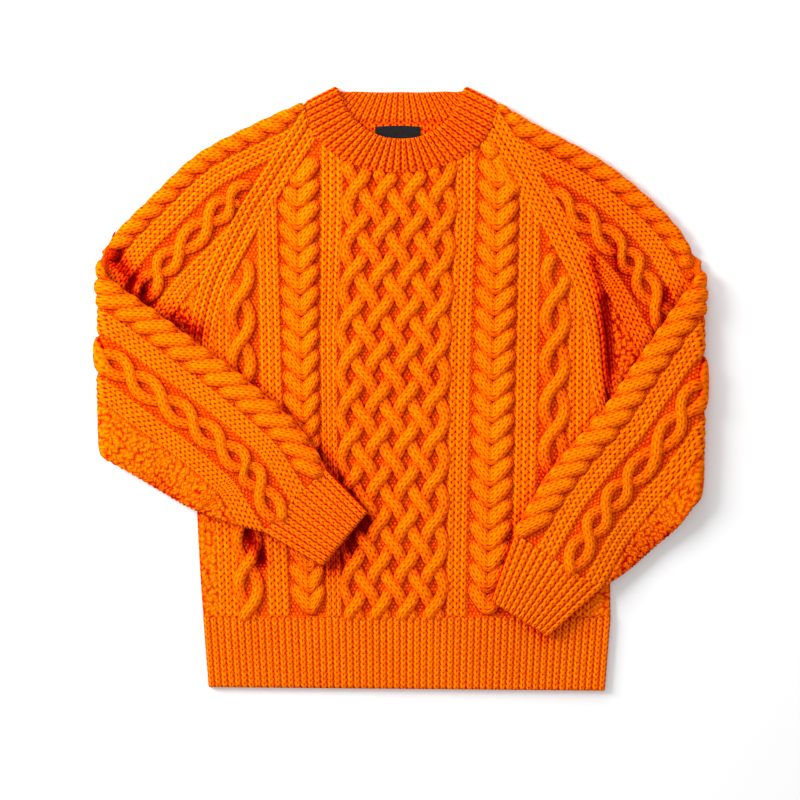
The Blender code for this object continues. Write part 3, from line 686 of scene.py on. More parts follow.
@dataclass(frozen=True)
class Cut:
    """Outline of the body and the neckband, with the part's own tables."""

    # columns: half width from the centre line, height up the body
    raglan: tuple = (
        (100.5, 289.5), (112.0, 271.5), (126.0, 250.5), (144.0, 222.5), (162.0, 195.5),
        (181.5, 161.0), (200.0, 126.0), (210.0, 98.0), (218.0, 62.0),
    )
    left_side: tuple = ((226.0, 12.0), (222.0, -120.0), (217.0, -251.3))
    right_side: tuple = ((228.0, -10.0), (229.0, -160.0), (230.0, -251.3))
    left_underarm: tuple = (264.0, -18.0)
    right_underarm: tuple = (267.0, -52.0)
    rib_top: float = -251.3
    # columns: seam x, seam y, middle height there, free edge x, free edge y, middle height
    band_front: tuple = (
        (0.0, 238.2, 7.2, 0.0, 273.9, 10.0),
        (31.0, 240.9, 7.2, 17.0, 275.5, 10.0),
        (59.6, 250.8, 7.4, 34.0, 282.0, 9.8),
        (74.0, 260.0, 7.6, 42.0, 287.5, 9.5),
        (88.0, 272.0, 8.0, 52.0, 296.0, 9.0),
        (97.6, 286.0, 8.4, 59.5, 306.0, 8.7),
        (102.0, 296.0, 8.5, 64.0, 315.0, 8.5),
        (103.8, 309.0, 8.5, 67.8, 327.0, 8.5),
    )
    band_back: tuple = (
        (103.8, 309.0, 2.5, 67.8, 327.0, 2.5),
        (92.0, 303.5, 2.5, 60.0, 326.0, 2.5),
        (76.0, 298.0, 2.5, 49.0, 326.5, 2.5),
        (50.0, 294.0, 2.5, 33.0, 325.8, 2.5),
        (25.0, 293.0, 2.5, 16.0, 325.5, 2.5),
        (0.0, 293.0, 2.5, 0.0, 326.0, 2.5),
    )
    # columns: height, then the drift of the left cable, both lattice edges, the right cable
    drift: tuple = (
        (-235.0, 9.0, -7.0, -9.5, -13.0),
        (-60.0, 2.0, -11.0, -8.0, -8.0),
        (60.0, -1.0, -11.0, -6.0, -5.0),
        (200.0, -6.0, -2.5, 0.5, -1.0),
    )

    def side(self, side: Side) -> tuple:
        """Half width and height down one side of the body."""
        return self.left_side if side is Side.LEFT else self.right_side

    def raglan_edge(self, side: Side, per_row: int = 24) -> Array:
        """A panel's raglan edge from the neck to the underarm, clear of the sleeve's seam."""
        underarm = self.left_underarm if side is Side.LEFT else self.right_underarm
        curve = dense(self.raglan + self.side(side)[:1] + (underarm,), per_row)
        along = unit(np.gradient(curve, axis=0))
        moved = curve + SEAM_GAP * np.stack([along[:, 1], -along[:, 0]], axis=1)
        return moved[:len(self.raglan) * per_row + 1]

    def neckline(self, rows: tuple) -> Array:
        """The neckband's seam, moved away from the band by the seam's gap."""
        curve = dense(rows)
        seam = curve[:, 0:2]
        line = seam + 2 * SEAM_GAP * unit(seam - curve[:, 3:5])
        return line[np.argsort(line[:, 0])]

    def top(self, side: Side, rows: tuple) -> Array:
        """Height of a panel's top edge over its half width: neckline, then raglan."""
        raglan = self.raglan_edge(side)
        neck = self.neckline(rows)
        neck = neck[neck[:, 0] < raglan[0, 0]]
        neck = neck[neck[:, 1] < np.interp(neck[:, 0], raglan[:, 0], raglan[:, 1]) + 0.01]
        return np.concatenate([neck, raglan])

    def column_x(self, column: Array, height: Array) -> Array:
        """Where a stitch column lies: its place plus the drift, read between the marks."""
        column, height = np.broadcast_arrays(np.asarray(column, float), np.asarray(height, float))
        rows = np.array(self.drift)
        left = np.array(self.left_side)[::-1]
        right = np.array(self.right_side)[::-1]
        wide = left[-1, 0], right[-1, 0]
        shifts = [-(np.interp(height, left[:, 1], left[:, 0]) - wide[0])]
        shifts += [np.interp(height, rows[:, 0], rows[:, k]) for k in range(1, 5)]
        shifts.append(np.interp(height, right[:, 1], right[:, 0]) - wide[1])
        marks = np.array([-wide[0], -107.5, -52.5, 52.5, 107.5, wide[1]])
        cell = np.clip(np.searchsorted(marks, column, side="right") - 1, 0, len(marks) - 2)
        part = (column - marks[cell]) / (marks[cell + 1] - marks[cell])
        table = np.stack(shifts)
        low = np.take_along_axis(table, cell[None], axis=0)[0]
        high = np.take_along_axis(table, cell[None] + 1, axis=0)[0]
        return column + low + (high - low) * part


CUT = Cut()


def raglan_place(x: Array, y: Array) -> tuple[Array, Array]:
    """Distance inside the raglan seam and arc length along it, for plan places of the body."""
    off = np.full(np.shape(x), FAR)
    arc = np.zeros(np.shape(x))
    for side in Side:
        spine = Spine(CUT.raglan_edge(side), before=20.0)
        near = (np.sign(x) == side.value) & (y > -40.0)
        found, length = spine.read(np.abs(x[near]), y[near])
        off[near] = found
        arc[near] = length
    return off, arc


def rib_wave(place: Array, pitch: float) -> Array:
    """A row of rounded columns: 0 at each edge, 1 in each middle."""
    return (0.5 - 0.5 * np.cos(2 * np.pi * place / pitch)) ** 0.7


def rib_places(phase: Array, along: Array, share: float = 0.88) -> Array:
    """Stitch places of 1x1 rib at quad corners, each knit column shifted against the next.

    Args:
        phase: rib number and share at the grid's points.
        along: length along the ribs, in millimetres.
        share: part of each rib that its knit column fills.

    Returns:
        Places by quad corner.
    """
    phase, along = corners(phase), corners(along)
    rib = np.floor(phase.mean(axis=2, keepdims=True))
    inside = np.clip((phase - rib - 0.5) / share, -0.5, 0.5)
    shift = 0.37 * rib + 0.1 * np.sin(2.3 * rib + 0.05 * along)
    return np.stack([rib + 0.5 + inside * 0.98, along / RIB_ROW + shift], axis=-1)


def moss_place(across: Array, along: Array) -> tuple[Array, Array]:
    """Moss stitch places, which wander by up to a sixth of a stitch from an even grid."""
    u = across / MOSS_STITCH + 0.16 * np.sin(0.61 * along + 1.7 * np.sin(0.23 * across))
    v = along / MOSS_ROW + 0.13 * np.sin(0.83 * across + 2.1 * np.sin(0.19 * along))
    return u, v


def moss_wave(across: Array, along: Array) -> Array:
    """Alternate bumps: half of one plus the product of both cosines of the moss place."""
    u, v = moss_place(across, along)
    return 0.5 + 0.5 * np.cos(2 * np.pi * u) * np.cos(2 * np.pi * v)


def cover(x: Array, y: Array, outline: Array, before: float = 9.0, after: float = 1.0) -> Array:
    """How far plan places are under a piece that lies on top.

    Args:
        x: places across.
        y: places up, of the same shape.
        outline: corners of the upper piece.
        before: distance outside it at which the cloth starts to be pressed.
        after: distance inside it at which the cloth is pressed fully.

    Returns:
        0 in the open to 1 under the piece, from the distance to its nearest edge.
    """
    points = np.stack([np.ravel(x), np.ravel(y)], axis=1)
    start, end = outline, np.roll(outline, -1, axis=0)
    edge = end - start
    deep = np.empty(len(points))
    for first in range(0, len(points), 8000):
        part = points[first:first + 8000, None, :]
        away = part - start[None]
        share = np.clip((away * edge).sum(axis=2) / (edge ** 2).sum(axis=1), 0.0, 1.0)
        near = np.linalg.norm(away - share[..., None] * edge, axis=2).min(axis=1)
        rises = (start[:, 1] > part[..., 1]) != (end[:, 1] > part[..., 1])
        slope = edge[:, 0] / np.where(edge[:, 1] == 0.0, 1e-9, edge[:, 1])
        hit = rises & (part[..., 0] < start[:, 0] + slope * (part[..., 1] - start[:, 1]))
        inside = hit.sum(axis=1) % 2 == 1
        deep[first:first + 8000] = np.where(inside, near, -near)
    return soft(deep, -before, after).reshape(np.shape(x))


# columns: one end x, y, other end x, y, half width, depth of the shade
FOLDS = (
    (-312.0, 143.6, -298.0, 121.0, 11.0, 0.90), (-298.0, 121.0, -283.8, 101.0, 12.0, 1.00),
    (-283.8, 101.0, -250.0, 76.5, 8.0, 0.50), (-250.0, 76.5, -224.0, 60.0, 13.0, 0.95),
    (-221.0, 55.6, -213.0, -20.0, 6.0, 0.30), (209.9, 143.6, 222.1, 99.6, 7.0, 0.85),
    (222.1, 99.6, 227.0, 53.0, 9.5, 1.15), (227.0, 53.0, 228.8, 20.0, 9.0, 1.15),
    (228.8, 20.0, 226.6, -12.0, 7.0, 1.00), (235.4, 154.6, 238.7, 130.4, 7.0, 0.60),
    (-168.0, -156.0, -152.0, -188.0, 8.0, 0.90), (-88.0, -72.0, -50.6, -122.7, 10.0, 0.75),
    (-38.5, -144.7, -76.0, -196.0, 11.0, 0.80), (94.6, -216.2, 158.4, -274.0, 7.0, 0.45),
    (238.0, 130.0, 250.0, 30.0, 24.0, 0.36), (170.0, 240.0, 236.0, 165.0, 34.0, 0.12),
    (284.9, 89.7, 292.6, 108.0, 6.0, 0.60), (258.0, 66.0, 268.0, 80.0, 8.0, 0.35),
    (150.0, 262.0, 185.0, 205.0, 12.0, 0.12),
)


def shade_of_folds(points: Array) -> Array:
    """Shade in the hollows of the cloth: by the forearms' edges and in the folds.

    In a fold, the shade falls with the square of the distance over its half width as a
    bell curve. Points above 16 mm belong to the forearms and have none.

    Args:
        points: world points in millimetres.

    Returns:
        0 in the open to about 1 in the deepest hollow.
    """
    x, y = points[..., 0], points[..., 1]
    shade = np.zeros(x.shape)
    for cut in (LEFT_CUT, RIGHT_CUT):
        shade = np.maximum(shade, 0.30 * cover(x * cut.side.value, y, cut.outline(), 13.0, 0.0))
    for x0, y0, x1, y1, half, depth in FOLDS:
        ahead = np.array([x1 - x0, y1 - y0])
        share = np.clip(((x - x0) * ahead[0] + (y - y0) * ahead[1]) / (ahead ** 2).sum(), 0.0, 1.0)
        away = np.hypot(x - x0 - share * ahead[0], y - y0 - share * ahead[1])
        shade = np.maximum(shade, depth * np.exp(-(away / half) ** 2))
    return shade * soft(points[..., 2], 16.0, 13.5)


# The front

@dataclass
class FrontChart:
    """Lays the front's columns and rows on the front's face, pressed under the forearms."""

    pressed: float = 0.62

    def place(self, across: Array, along: Array, height: Array) -> Array:
        """World points: the column's drifted place, the height up the body, over the face."""
        x = CUT.column_x(across, along)
        y = np.broadcast_to(along, x.shape)
        under = np.zeros(x.shape)
        for cut in (LEFT_CUT, RIGHT_CUT):
            under = np.maximum(under, cover(x * cut.side.value, y, cut.outline()))
        high = np.where(height > 0.0, height * (1 - (1 - self.pressed) * under), height)
        return np.stack([x, y, FRONT_FACE + high], axis=-1)


@dataclass
class FrontPanel:
    """The front: rib and moss columns, with the lattice, horseshoes and links on them."""

    wool: bpy.types.Material
    cable: bpy.types.Material
    lattice_step: float = 7.5
    lattice_row: float = 11.59
    lattice_phase: float = 199.7
    strands: int = 8
    strand_half: float = 7.4
    wander: float = 0.42
    low_crest: float = 2.0
    high_crest: float = 6.0
    horseshoe_centre: float = 107.5
    horseshoe_reach: float = 21.5
    horseshoe_half: float = 9.6
    horseshoe_period: float = 23.4
    horseshoe_phase: float = 212.0
    link_centres: tuple = (175.5, 171.5)
    link_period: float = 49.0
    link_phase: float = 150.0
    link_swing: float = 10.6
    link_half: float = 7.2
    rib_rise: float = 1.6
    moss_rise: float = 0.7
    moss_start: float = 209.0
    sunk: float = -1.5
    rib_groups: tuple = ((60.0, 3), (131.0, 3), (185.5, 3))
    rows: int = 310
    tallest: float = 490.0
    edge_width: float = 3.0
    chart: FrontChart = field(default_factory=FrontChart)

    def columns(self) -> Array:
        """Grid lines across: fine over ribs and moss, coarse under the cables."""
        half = [np.arange(0.0, 57.0, 2.6), np.array([58.5])]
        for start, count in self.rib_groups:
            half.append(np.linspace(start, start + count * STITCH, 6 * count + 1))
        half += [np.arange(83.0, 130.0, 2.6), np.arange(154.0, 184.5, 2.2)]
        half.append(np.arange(self.moss_start + 1.0, 225.5, 1.55))
        line = np.unique(np.concatenate(half))
        return np.unique(np.concatenate([-line, [-CUT.left_side[0][0]], line, [CUT.right_side[0][0]]]))

    def relief(self, across: Array, along: Array, off: Array) -> Array:
        """Height of the cloth without cables: rib columns, moss bumps and the raglan band."""
        place = np.abs(across)
        height = np.full(place.shape, self.sunk)
        for start, count in self.rib_groups:
            inside = (place >= start - 0.5) & (place <= start + count * STITCH + 0.5)
            height = np.where(inside, self.rib_rise * rib_wave(place - start, STITCH), height)
        moss = 0.5 + self.moss_rise * moss_wave(across, along)
        height = np.where(place > self.moss_start, moss, height)
        band = 0.4 + self.rib_rise * rib_wave(off, RAGLAN_STITCH)
        height = np.where(off < RAGLAN_BAND, band, height)
        side = np.where(across < 0, CUT.left_side[0][0], CUT.right_side[0][0]) - place
        return height - 2.4 * (1 - np.sqrt(1 - np.clip(1 - side / 4.0, 0.0, 1.0) ** 2))

    def stitches(self, across: Array, along: Array, off: Array, arc: Array) -> tuple[Array, Array]:
        """Stitch places at each quad's corners, and the kind of stitch of each quad.

        Args:
            across: columns at the grid's points.
            along: heights at the grid's points.
            off: distance inside the raglan seam.
            arc: length along the raglan seam.

        Returns:
            Places by quad corner, and the value of Stitch for each quad.
        """
        across, along, off, arc = (corners(values) for values in (across, along, off, arc))
        middle = np.abs(across.mean(axis=2))
        place = np.abs(across)
        u = across / PURL_STITCH
        v = along / PURL_ROW
        purl = np.full(middle.shape, Stitch.PURL.value)
        for start, count in self.rib_groups:
            inside = (middle >= start) & (middle <= start + count * STITCH)
            u = np.where(inside[..., None], (place - start) / STITCH, u)
            v = np.where(inside[..., None], along / ROW, v)
            purl = np.where(inside, Stitch.KNIT.value, purl)
        moss = (middle > self.moss_start)[..., None]
        moss_u, moss_v = moss_place(across, along)
        u = np.where(moss, moss_u, u)
        v = np.where(moss, moss_v, v)
        purl = np.where(moss[..., 0], Stitch.MOSS.value, purl)
        band = off.mean(axis=2) < RAGLAN_BAND
        u = np.where(band[..., None], off / RAGLAN_STITCH, u)
        v = np.where(band[..., None], arc / ROW, v)
        return np.stack([u, v], axis=-1), np.where(band, Stitch.KNIT.value, purl)

    def cloth(self) -> bpy.types.Object:
        """The flat knitted cloth of the front, a closed wall."""
        columns = self.columns()
        tops = np.empty(len(columns))
        for side in Side:
            top = CUT.top(side, CUT.band_front)
            mine = np.sign(columns + 1e-6) == side.value
            end = np.full(mine.sum(), 200.0)
            for _ in range(8):
                place = np.minimum(np.abs(CUT.column_x(columns[mine], end)), top[-1, 0])
                end = np.interp(place, top[:, 0], top[:, 1])
            tops[mine] = end
        share = np.linspace(0.0, 1.0, self.rows)[:, None]
        along = CUT.rib_top + share * (tops[None, :] - CUT.rib_top)
        across = np.broadcast_to(columns, along.shape)
        x = CUT.column_x(across, along)
        off, arc = raglan_place(x, along)
        height = self.relief(across, along, off)
        edge = np.minimum(np.minimum(share, 1 - share) * self.tallest / self.edge_width, 1.0)
        height = np.where(height > 0, height * edge, height * np.minimum(1.0, share * 100.0))
        places, purl = self.stitches(across, along, off, arc)
        knit = Knit()
        # Painted shade: the colour is darker in the sunk ground and lighter on the rib, moss and band tops.
        rise = 0.62 + 0.30 * np.clip((height - self.sunk) / (self.rib_rise - self.sunk), 0.0, 1.0)
        points = self.chart.place(across, along, height)
        ids = knit.grid(points, places, rise, purl)
        border = border_of(ids)
        low = knit.points[0][border].copy()
        low[:, 2] = FRONT_INSIDE
        knit.wall(border, low)
        shown = knit.points[0].reshape(points.shape)
        shown[-1, :, 1] += 1.0
        shown[-1, :, 2] = FRONT_FACE + 0.35
        return knit.make("front_cloth", self.wool, ["front_panel"])

    def room(self, line: Array, margin: float = 3.0) -> Array:
        """Where a cable has room: inside the raglan bands, under the neck, over the rib."""
        x = CUT.column_x(line[:, 0], line[:, 1])
        off, _ = raglan_place(x, line[:, 1])
        tops = np.full(len(line), FAR)
        for side in Side:
            top = CUT.top(side, CUT.band_front)
            mine = np.sign(x + 1e-6) == side.value
            tops[mine] = np.interp(np.abs(x[mine]), top[:, 0], top[:, 1])
        under = (line[:, 1] < tops + 3.0) & (line[:, 1] > CUT.rib_top - 6.0)
        return under & (off > RAGLAN_BAND + margin)

    def lay(self, knit: Knit, line: Array, top: Array, half: float, stitches: float,
            margin: float = 3.0, **shape: float) -> None:
        """Adds the stretches of a strand that have room."""
        for run in runs(self.room(line, margin)):
            knit.strand(self.chart, line[run], top[run], half, stitches, **shape)

    def lattice(self) -> bpy.types.Object:
        """Eight strands that cross over and under and turn back at both edges.

        In steps across and rows up, a strand climbs one step a row from -7 to 7, holds for
        two rows, and comes back. Its slope is more at the crossings and less between them.
        Strands to the right pass over at every other row of crossings, the rest under.
        """
        knit = Knit()
        rows = np.arange(-40.0, 6.0, 0.22)
        for number in range(self.strands):
            turn = np.mod(rows - 1.0 - 4.0 * number, 32.0)
            back = turn > 15.0
            part = np.where(back, turn - 16.0, turn)
            wave = self.wander * np.sin(np.pi * rows) / np.pi * np.where(back, -1.0, 1.0)
            held = (part < 0.0) | (part > 14.0)
            climb = np.clip(part, 0.0, 14.0) - 7.0
            past = np.where(part > 14.0, part - 14.0, np.where(part < 0.0, -part, 0.0))
            bulge = 0.5 * np.sin(np.pi / 2 * np.minimum(past, 2.0))
            sign = np.where(back, -1.0, 1.0)
            step = sign * (climb + np.sign(climb) * bulge) + np.where(held, 0.0, wave)
            sense = np.where(held, 0.0, np.where(back, 1.0, -1.0))
            sense = np.convolve(np.pad(sense, 4, "edge"), np.ones(9) / 9, "valid")
            swing = sense * np.cos(np.pi / 2 * rows)
            middle = (self.low_crest + self.high_crest) / 2
            crest = middle + (self.high_crest - self.low_crest) / 2 * swing
            line = np.stack([step * self.lattice_step, self.lattice_phase + rows * self.lattice_row], axis=1)
            self.lay(knit, line, crest, self.strand_half, 2.0)
        return knit.make("lattice_cable", self.cable)

    def horseshoe(self, side: Side) -> bpy.types.Object:
        """Stacked V forms with their points down, each bulging at its lower rim.

        With t from -1 to 1 across a V, it climbs with the root of t squared plus 0.008 and
        curls upwards at its ends with the fourth power of t.
        """
        knit = Knit()
        share = np.linspace(-1.0, 1.0, 33)
        slope = 1.12 * (np.sqrt(share ** 2 + 0.008) - 0.09) + 0.26 * share ** 4
        count = int((290.0 - CUT.rib_top) / self.horseshoe_period) + 4
        for number in range(count):
            base = self.horseshoe_phase + (2.7 - number) * self.horseshoe_period
            place = side.value * self.horseshoe_centre + self.horseshoe_reach * 0.86 * share
            line = np.stack([place, base + self.horseshoe_reach * slope], axis=1)
            crest = 5.4 - 1.2 * np.exp(-(share / 0.12) ** 2) - 2.8 * share ** 4
            if base > CUT.rib_top - 3.0:
                self.lay(knit, line, crest, self.horseshoe_half, 3.0, margin=-2.0, lean=0.17,
                         taper=9.0)
        return knit.make(f"{side.name.lower()}_horseshoe", self.cable)

    def links(self, side: Side) -> bpy.types.Object:
        """Two strands that part and cross in open links: a sine each, half a turn apart."""
        knit = Knit()
        along = np.arange(CUT.rib_top - 8.0, 240.0, 2.4)
        turn = np.pi * (along - self.link_phase) / self.link_period
        middle = (self.low_crest + self.high_crest) / 2
        for sense in (-1.0, 1.0):
            centre = self.link_centres[side is Side.RIGHT]
            swing = self.link_swing * np.sign(np.sin(turn)) * np.abs(np.sin(turn)) ** 0.85
            place = side.value * centre + sense * swing
            crest = middle + sense * (self.high_crest - self.low_crest) / 2 * np.cos(turn)
            self.lay(knit, np.stack([place, along], axis=1), crest, self.link_half, 2.0, margin=1.0)
        return knit.make(f"{side.name.lower()}_links", self.cable)

    def build(self) -> None:
        cloth = self.cloth()
        cables = [self.lattice()]
        for side in Side:
            cables += [self.horseshoe(side), self.links(side)]


# The back

@dataclass
class BackPanel:
    """The back, level on both faces and without cables."""

    wool: bpy.types.Material
    columns: int = 92
    rows: int = 110
    neck_half: float = 90.0
    straight_from: float = -40.0

    def build(self) -> None:
        """A closed wall with the back's outline, plain knit on both faces."""
        line = np.linspace(-CUT.left_side[0][0], CUT.right_side[0][0], self.columns)
        tops = np.empty(len(line))
        for side in Side:
            neck = CUT.neckline(CUT.band_back)
            top = np.concatenate([neck[neck[:, 0] < self.neck_half], CUT.raglan_edge(side)])
            mine = np.sign(line + 1e-6) == side.value
            place = np.minimum(np.abs(line[mine]), top[-1, 0])
            tops[mine] = np.interp(place, top[:, 0], top[:, 1])
        share = np.linspace(0.0, 1.0, self.rows)[:, None]
        along = CUT.rib_top + share * (tops[None, :] - CUT.rib_top)
        drifted = CUT.column_x(np.broadcast_to(line, along.shape), along)
        straight = np.interp(along, [CUT.rib_top, self.straight_from], [0.0, 1.0])
        x = drifted * (1 - straight) + line * straight
        knit = Knit()
        places = np.stack([x / STITCH, along / ROW], axis=-1)
        # Painted shade: the back's face, seen only inside the neck, takes a low rise and a darker colour.
        ids = knit.grid(np.stack([x, along, np.full(x.shape, BACK_PLY)], axis=-1), places, 0.45)
        under = knit.grid(np.stack([x, along, np.zeros(x.shape)], axis=-1), places, 0.6)
        one, two = border_of(ids), border_of(under)
        knit.quads.append(np.stack([one, two, np.roll(two, -1), np.roll(one, -1)], axis=1))
        knit.places.append(np.zeros((len(one), 4, 2)))
        knit.purl.append(np.zeros(len(one)))
        cloth = knit.make("back_cloth", self.wool, ["back_panel"])


# Hem

@dataclass
class HemRib:
    """The hem rib: one knit column and one purl column in turn."""

    wool: bpy.types.Material
    left_end: tuple = (-211.0, -328.0)
    right_end: tuple = (223.5, -332.0)
    ribs: int = 60
    rise: float = 1.9
    lip: float = 2.4

    def plan(self, share: Array, down: Array) -> tuple[Array, Array]:
        """Plan places from the share across and the share down to the lower edge."""
        left, right = -CUT.left_side[-1][0], CUT.right_side[-1][0]
        top_x = left + share * (right - left)
        low_x = self.left_end[0] + share * (self.right_end[0] - self.left_end[0])
        low_y = self.left_end[1] + share * (self.right_end[1] - self.left_end[1])
        top_y = CUT.rib_top - SEAM_GAP
        return top_x + (low_x - top_x) * down, top_y + (low_y - top_y) * down

    def build(self) -> None:
        """Makes the raised front rib and the plain back one, as two sheets."""
        across, down = np.meshgrid(np.linspace(0, 1, 6 * self.ribs + 1), np.linspace(0, 1, 40))
        wave = rib_wave(across * self.ribs, 1.0)
        x, y = self.plan(across, down * (1.0 - 0.014 * (1 - wave) * (down > 0.98)))
        y = np.where(down == 0.0, y + 0.27, y)
        past = np.clip(1 - (1 - down) * 78.0 / self.lip, 0.0, 1.0)
        lip = np.sqrt(1 - past ** 2)
        knit = Knit()
        z = FRONT_INSIDE + (2.9 + self.rise * wave) * (0.3 + 0.7 * lip)
        points = np.stack([x, y, z], axis=-1)
        # Painted shade: the colour is darker between the ribs and lighter on them.
        ids = knit.grid(points, rib_places(across * self.ribs, y), 0.64 + 0.32 * wave)
        border = border_of(ids)
        low = np.concatenate(knit.points)[border].copy()
        low[:, 2] = FRONT_INSIDE
        knit.wall(border, low)
        front = knit.make("hem_front", self.wool, ["front_hem_rib"])
        self.back()

    def back(self) -> None:
        """The rib of the back, pressed flat on the floor."""
        across, down = np.meshgrid(np.linspace(0, 1, 61), np.linspace(0, 1, 12))
        x, y = self.plan(across, down)
        knit = Knit()
        places = np.stack([across * self.ribs, y / ROW], axis=-1)
        ids = knit.grid(np.stack([x, y, np.full(x.shape, BACK_PLY)], axis=-1), places, 0.6)
        border = border_of(ids)
        low = np.concatenate(knit.points)[border].copy()
        low[:, 2] = 0.0
        knit.wall(border, low)
        back = knit.make("hem_back", self.wool, ["back_hem_rib"])


# Sleeves and cuffs

@dataclass(frozen=True)
class SleeveCut:
    """One sleeve's tables, in a layout where the sleeve points to +x."""

    side: Side
    top: tuple
    elbow: tuple
    forearm: tuple
    cuff_end: tuple

    def outline(self) -> Array:
        """Outline of the forearm and cuff, which lie on top."""
        rows = np.array([row[0:4] for row in self.forearm] + [self.cuff_end])
        return np.concatenate([rows[:, 0:2], rows[::-1, 2:4]])


LEFT_CUT = SleeveCut(
    side=Side.LEFT,
    top=((107.5, 312.5), (125.0, 305.5), (144.0, 296.5), (172.0, 283.5), (199.0, 270.0),
         (227.0, 253.5), (254.0, 228.0), (270.0, 212.0), (285.0, 197.0), (297.0, 186.0)),
    # columns: top line x, y, seam x, y
    elbow=((310.0, 173.0, 264.0, -18.0), (321.0, 158.0, 321.0, -58.0)),
    # columns: top line x, y, seam x, y, share of the width that is held up, sag of the seam
    forearm=((321.0, 122.0, 321.0, -79.0, 0.88, 0.0), (300.0, 106.0, 296.0, -93.0, 0.74, 3.5),
             (262.0, 79.0, 262.0, -113.5, 0.50, 7.0), (221.0, 48.0, 232.0, -130.5, 0.45, 3.0),
             (180.0, 18.0, 203.0, -141.5, 0.60, 0.0), (140.0, -15.0, 178.0, -149.5, 0.60, 0.0),
             (110.0, -44.0, 162.0, -154.0, 0.60, 0.0), (82.0, -87.0, 150.7, -156.8, 0.60, 0.0)),
    cuff_end=(35.8, -134.8, 85.8, -194.2),
)
RIGHT_CUT = SleeveCut(
    side=Side.RIGHT,
    top=((107.5, 312.5), (125.0, 301.0), (146.0, 288.5), (175.0, 273.5), (200.0, 260.5),
         (227.0, 244.0), (252.0, 224.5), (268.0, 210.5), (284.0, 196.0), (296.0, 184.0)),
    elbow=((309.0, 167.0, 267.0, -52.0), (321.0, 146.0, 321.0, -100.0)),
    forearm=((321.0, 118.0, 321.0, -128.0, 0.80, 0.0), (300.0, 90.0, 304.0, -151.0, 0.64, 4.5),
             (275.0, 54.0, 278.0, -174.0, 0.42, 7.5), (247.0, 14.0, 257.0, -193.0, 0.20, 7.0),
             (219.0, -26.0, 243.0, -204.0, 0.45, 3.0), (186.0, -63.0, 232.0, -211.0, 0.60, 0.0),
             (152.0, -108.0, 225.5, -216.0, 0.60, 0.0), (123.5, -157.5, 219.0, -219.5, 0.60, 0.0)),
    cuff_end=(97.9, -232.7, 160.6, -271.2),
)


@dataclass
class SleeveRoll:
    """The sleeve's flat layout and how it lies: rolled over at the elbow, with its sag."""

    cut: SleeveCut
    start: float = 321.0
    axis: float = 9.7
    radius: float = 5.6

    def far(self) -> float:
        """The mirror line of the forearm: where its layout is turned back."""
        return 2 * self.start + math.pi * self.radius

    def unfold(self, rows: tuple) -> Array:
        """Forearm rows turned back into the flat layout."""
        table = np.array(rows, float)
        table[:, 0] = self.far() - table[:, 0]
        table[:, 2] = self.far() - table[:, 2]
        return table

    def hang(self, x: Array, y: Array) -> Array:
        """Sag of the forearm: from 0 where it is held up to the full sag at the seam."""
        rows = np.array(self.cut.forearm)[::-1]
        place = self.far() - x
        top = np.interp(place, rows[:, 0], rows[:, 1])
        seam = np.interp(place, rows[:, 2], rows[:, 3])
        held = np.interp(place, rows[:, 0], rows[:, 4])
        sag = np.interp(place, rows[:, 0], rows[:, 5])
        share = (top - y) / np.maximum(top - seam, 1.0)
        part = np.clip((share - held) / np.maximum(1 - held, 0.05), 0.0, 1.1)
        return np.where(x > self.start + 2.0, sag * part, 0.0)

    def lift(self, x: Array, y: Array, level: Array) -> Array:
        """World points of the flat layout.

        Up to the start of the roll the cloth lies level. Past it, the angle is the length
        past the start over the radius, up to half a turn, and a level's reach is its
        distance from the roll's axis; past half a turn the cloth runs back on top.

        Args:
            x: places across in the flat layout.
            y: places up.
            level: heights in the flat layout.

        Returns:
            World points, turned to the sleeve's own side.
        """
        past = x - self.start
        angle = np.clip(past / self.radius, 0.0, math.pi)
        reach = self.axis - level
        beyond = np.maximum(past - math.pi * self.radius, 0.0)
        place = np.minimum(x, self.start) + reach * np.sin(angle) - beyond
        z = np.maximum(self.axis - reach * np.cos(angle) - self.hang(x, y), 0.0)
        return np.stack([self.cut.side.value * place, np.broadcast_to(y, place.shape), z], axis=-1)


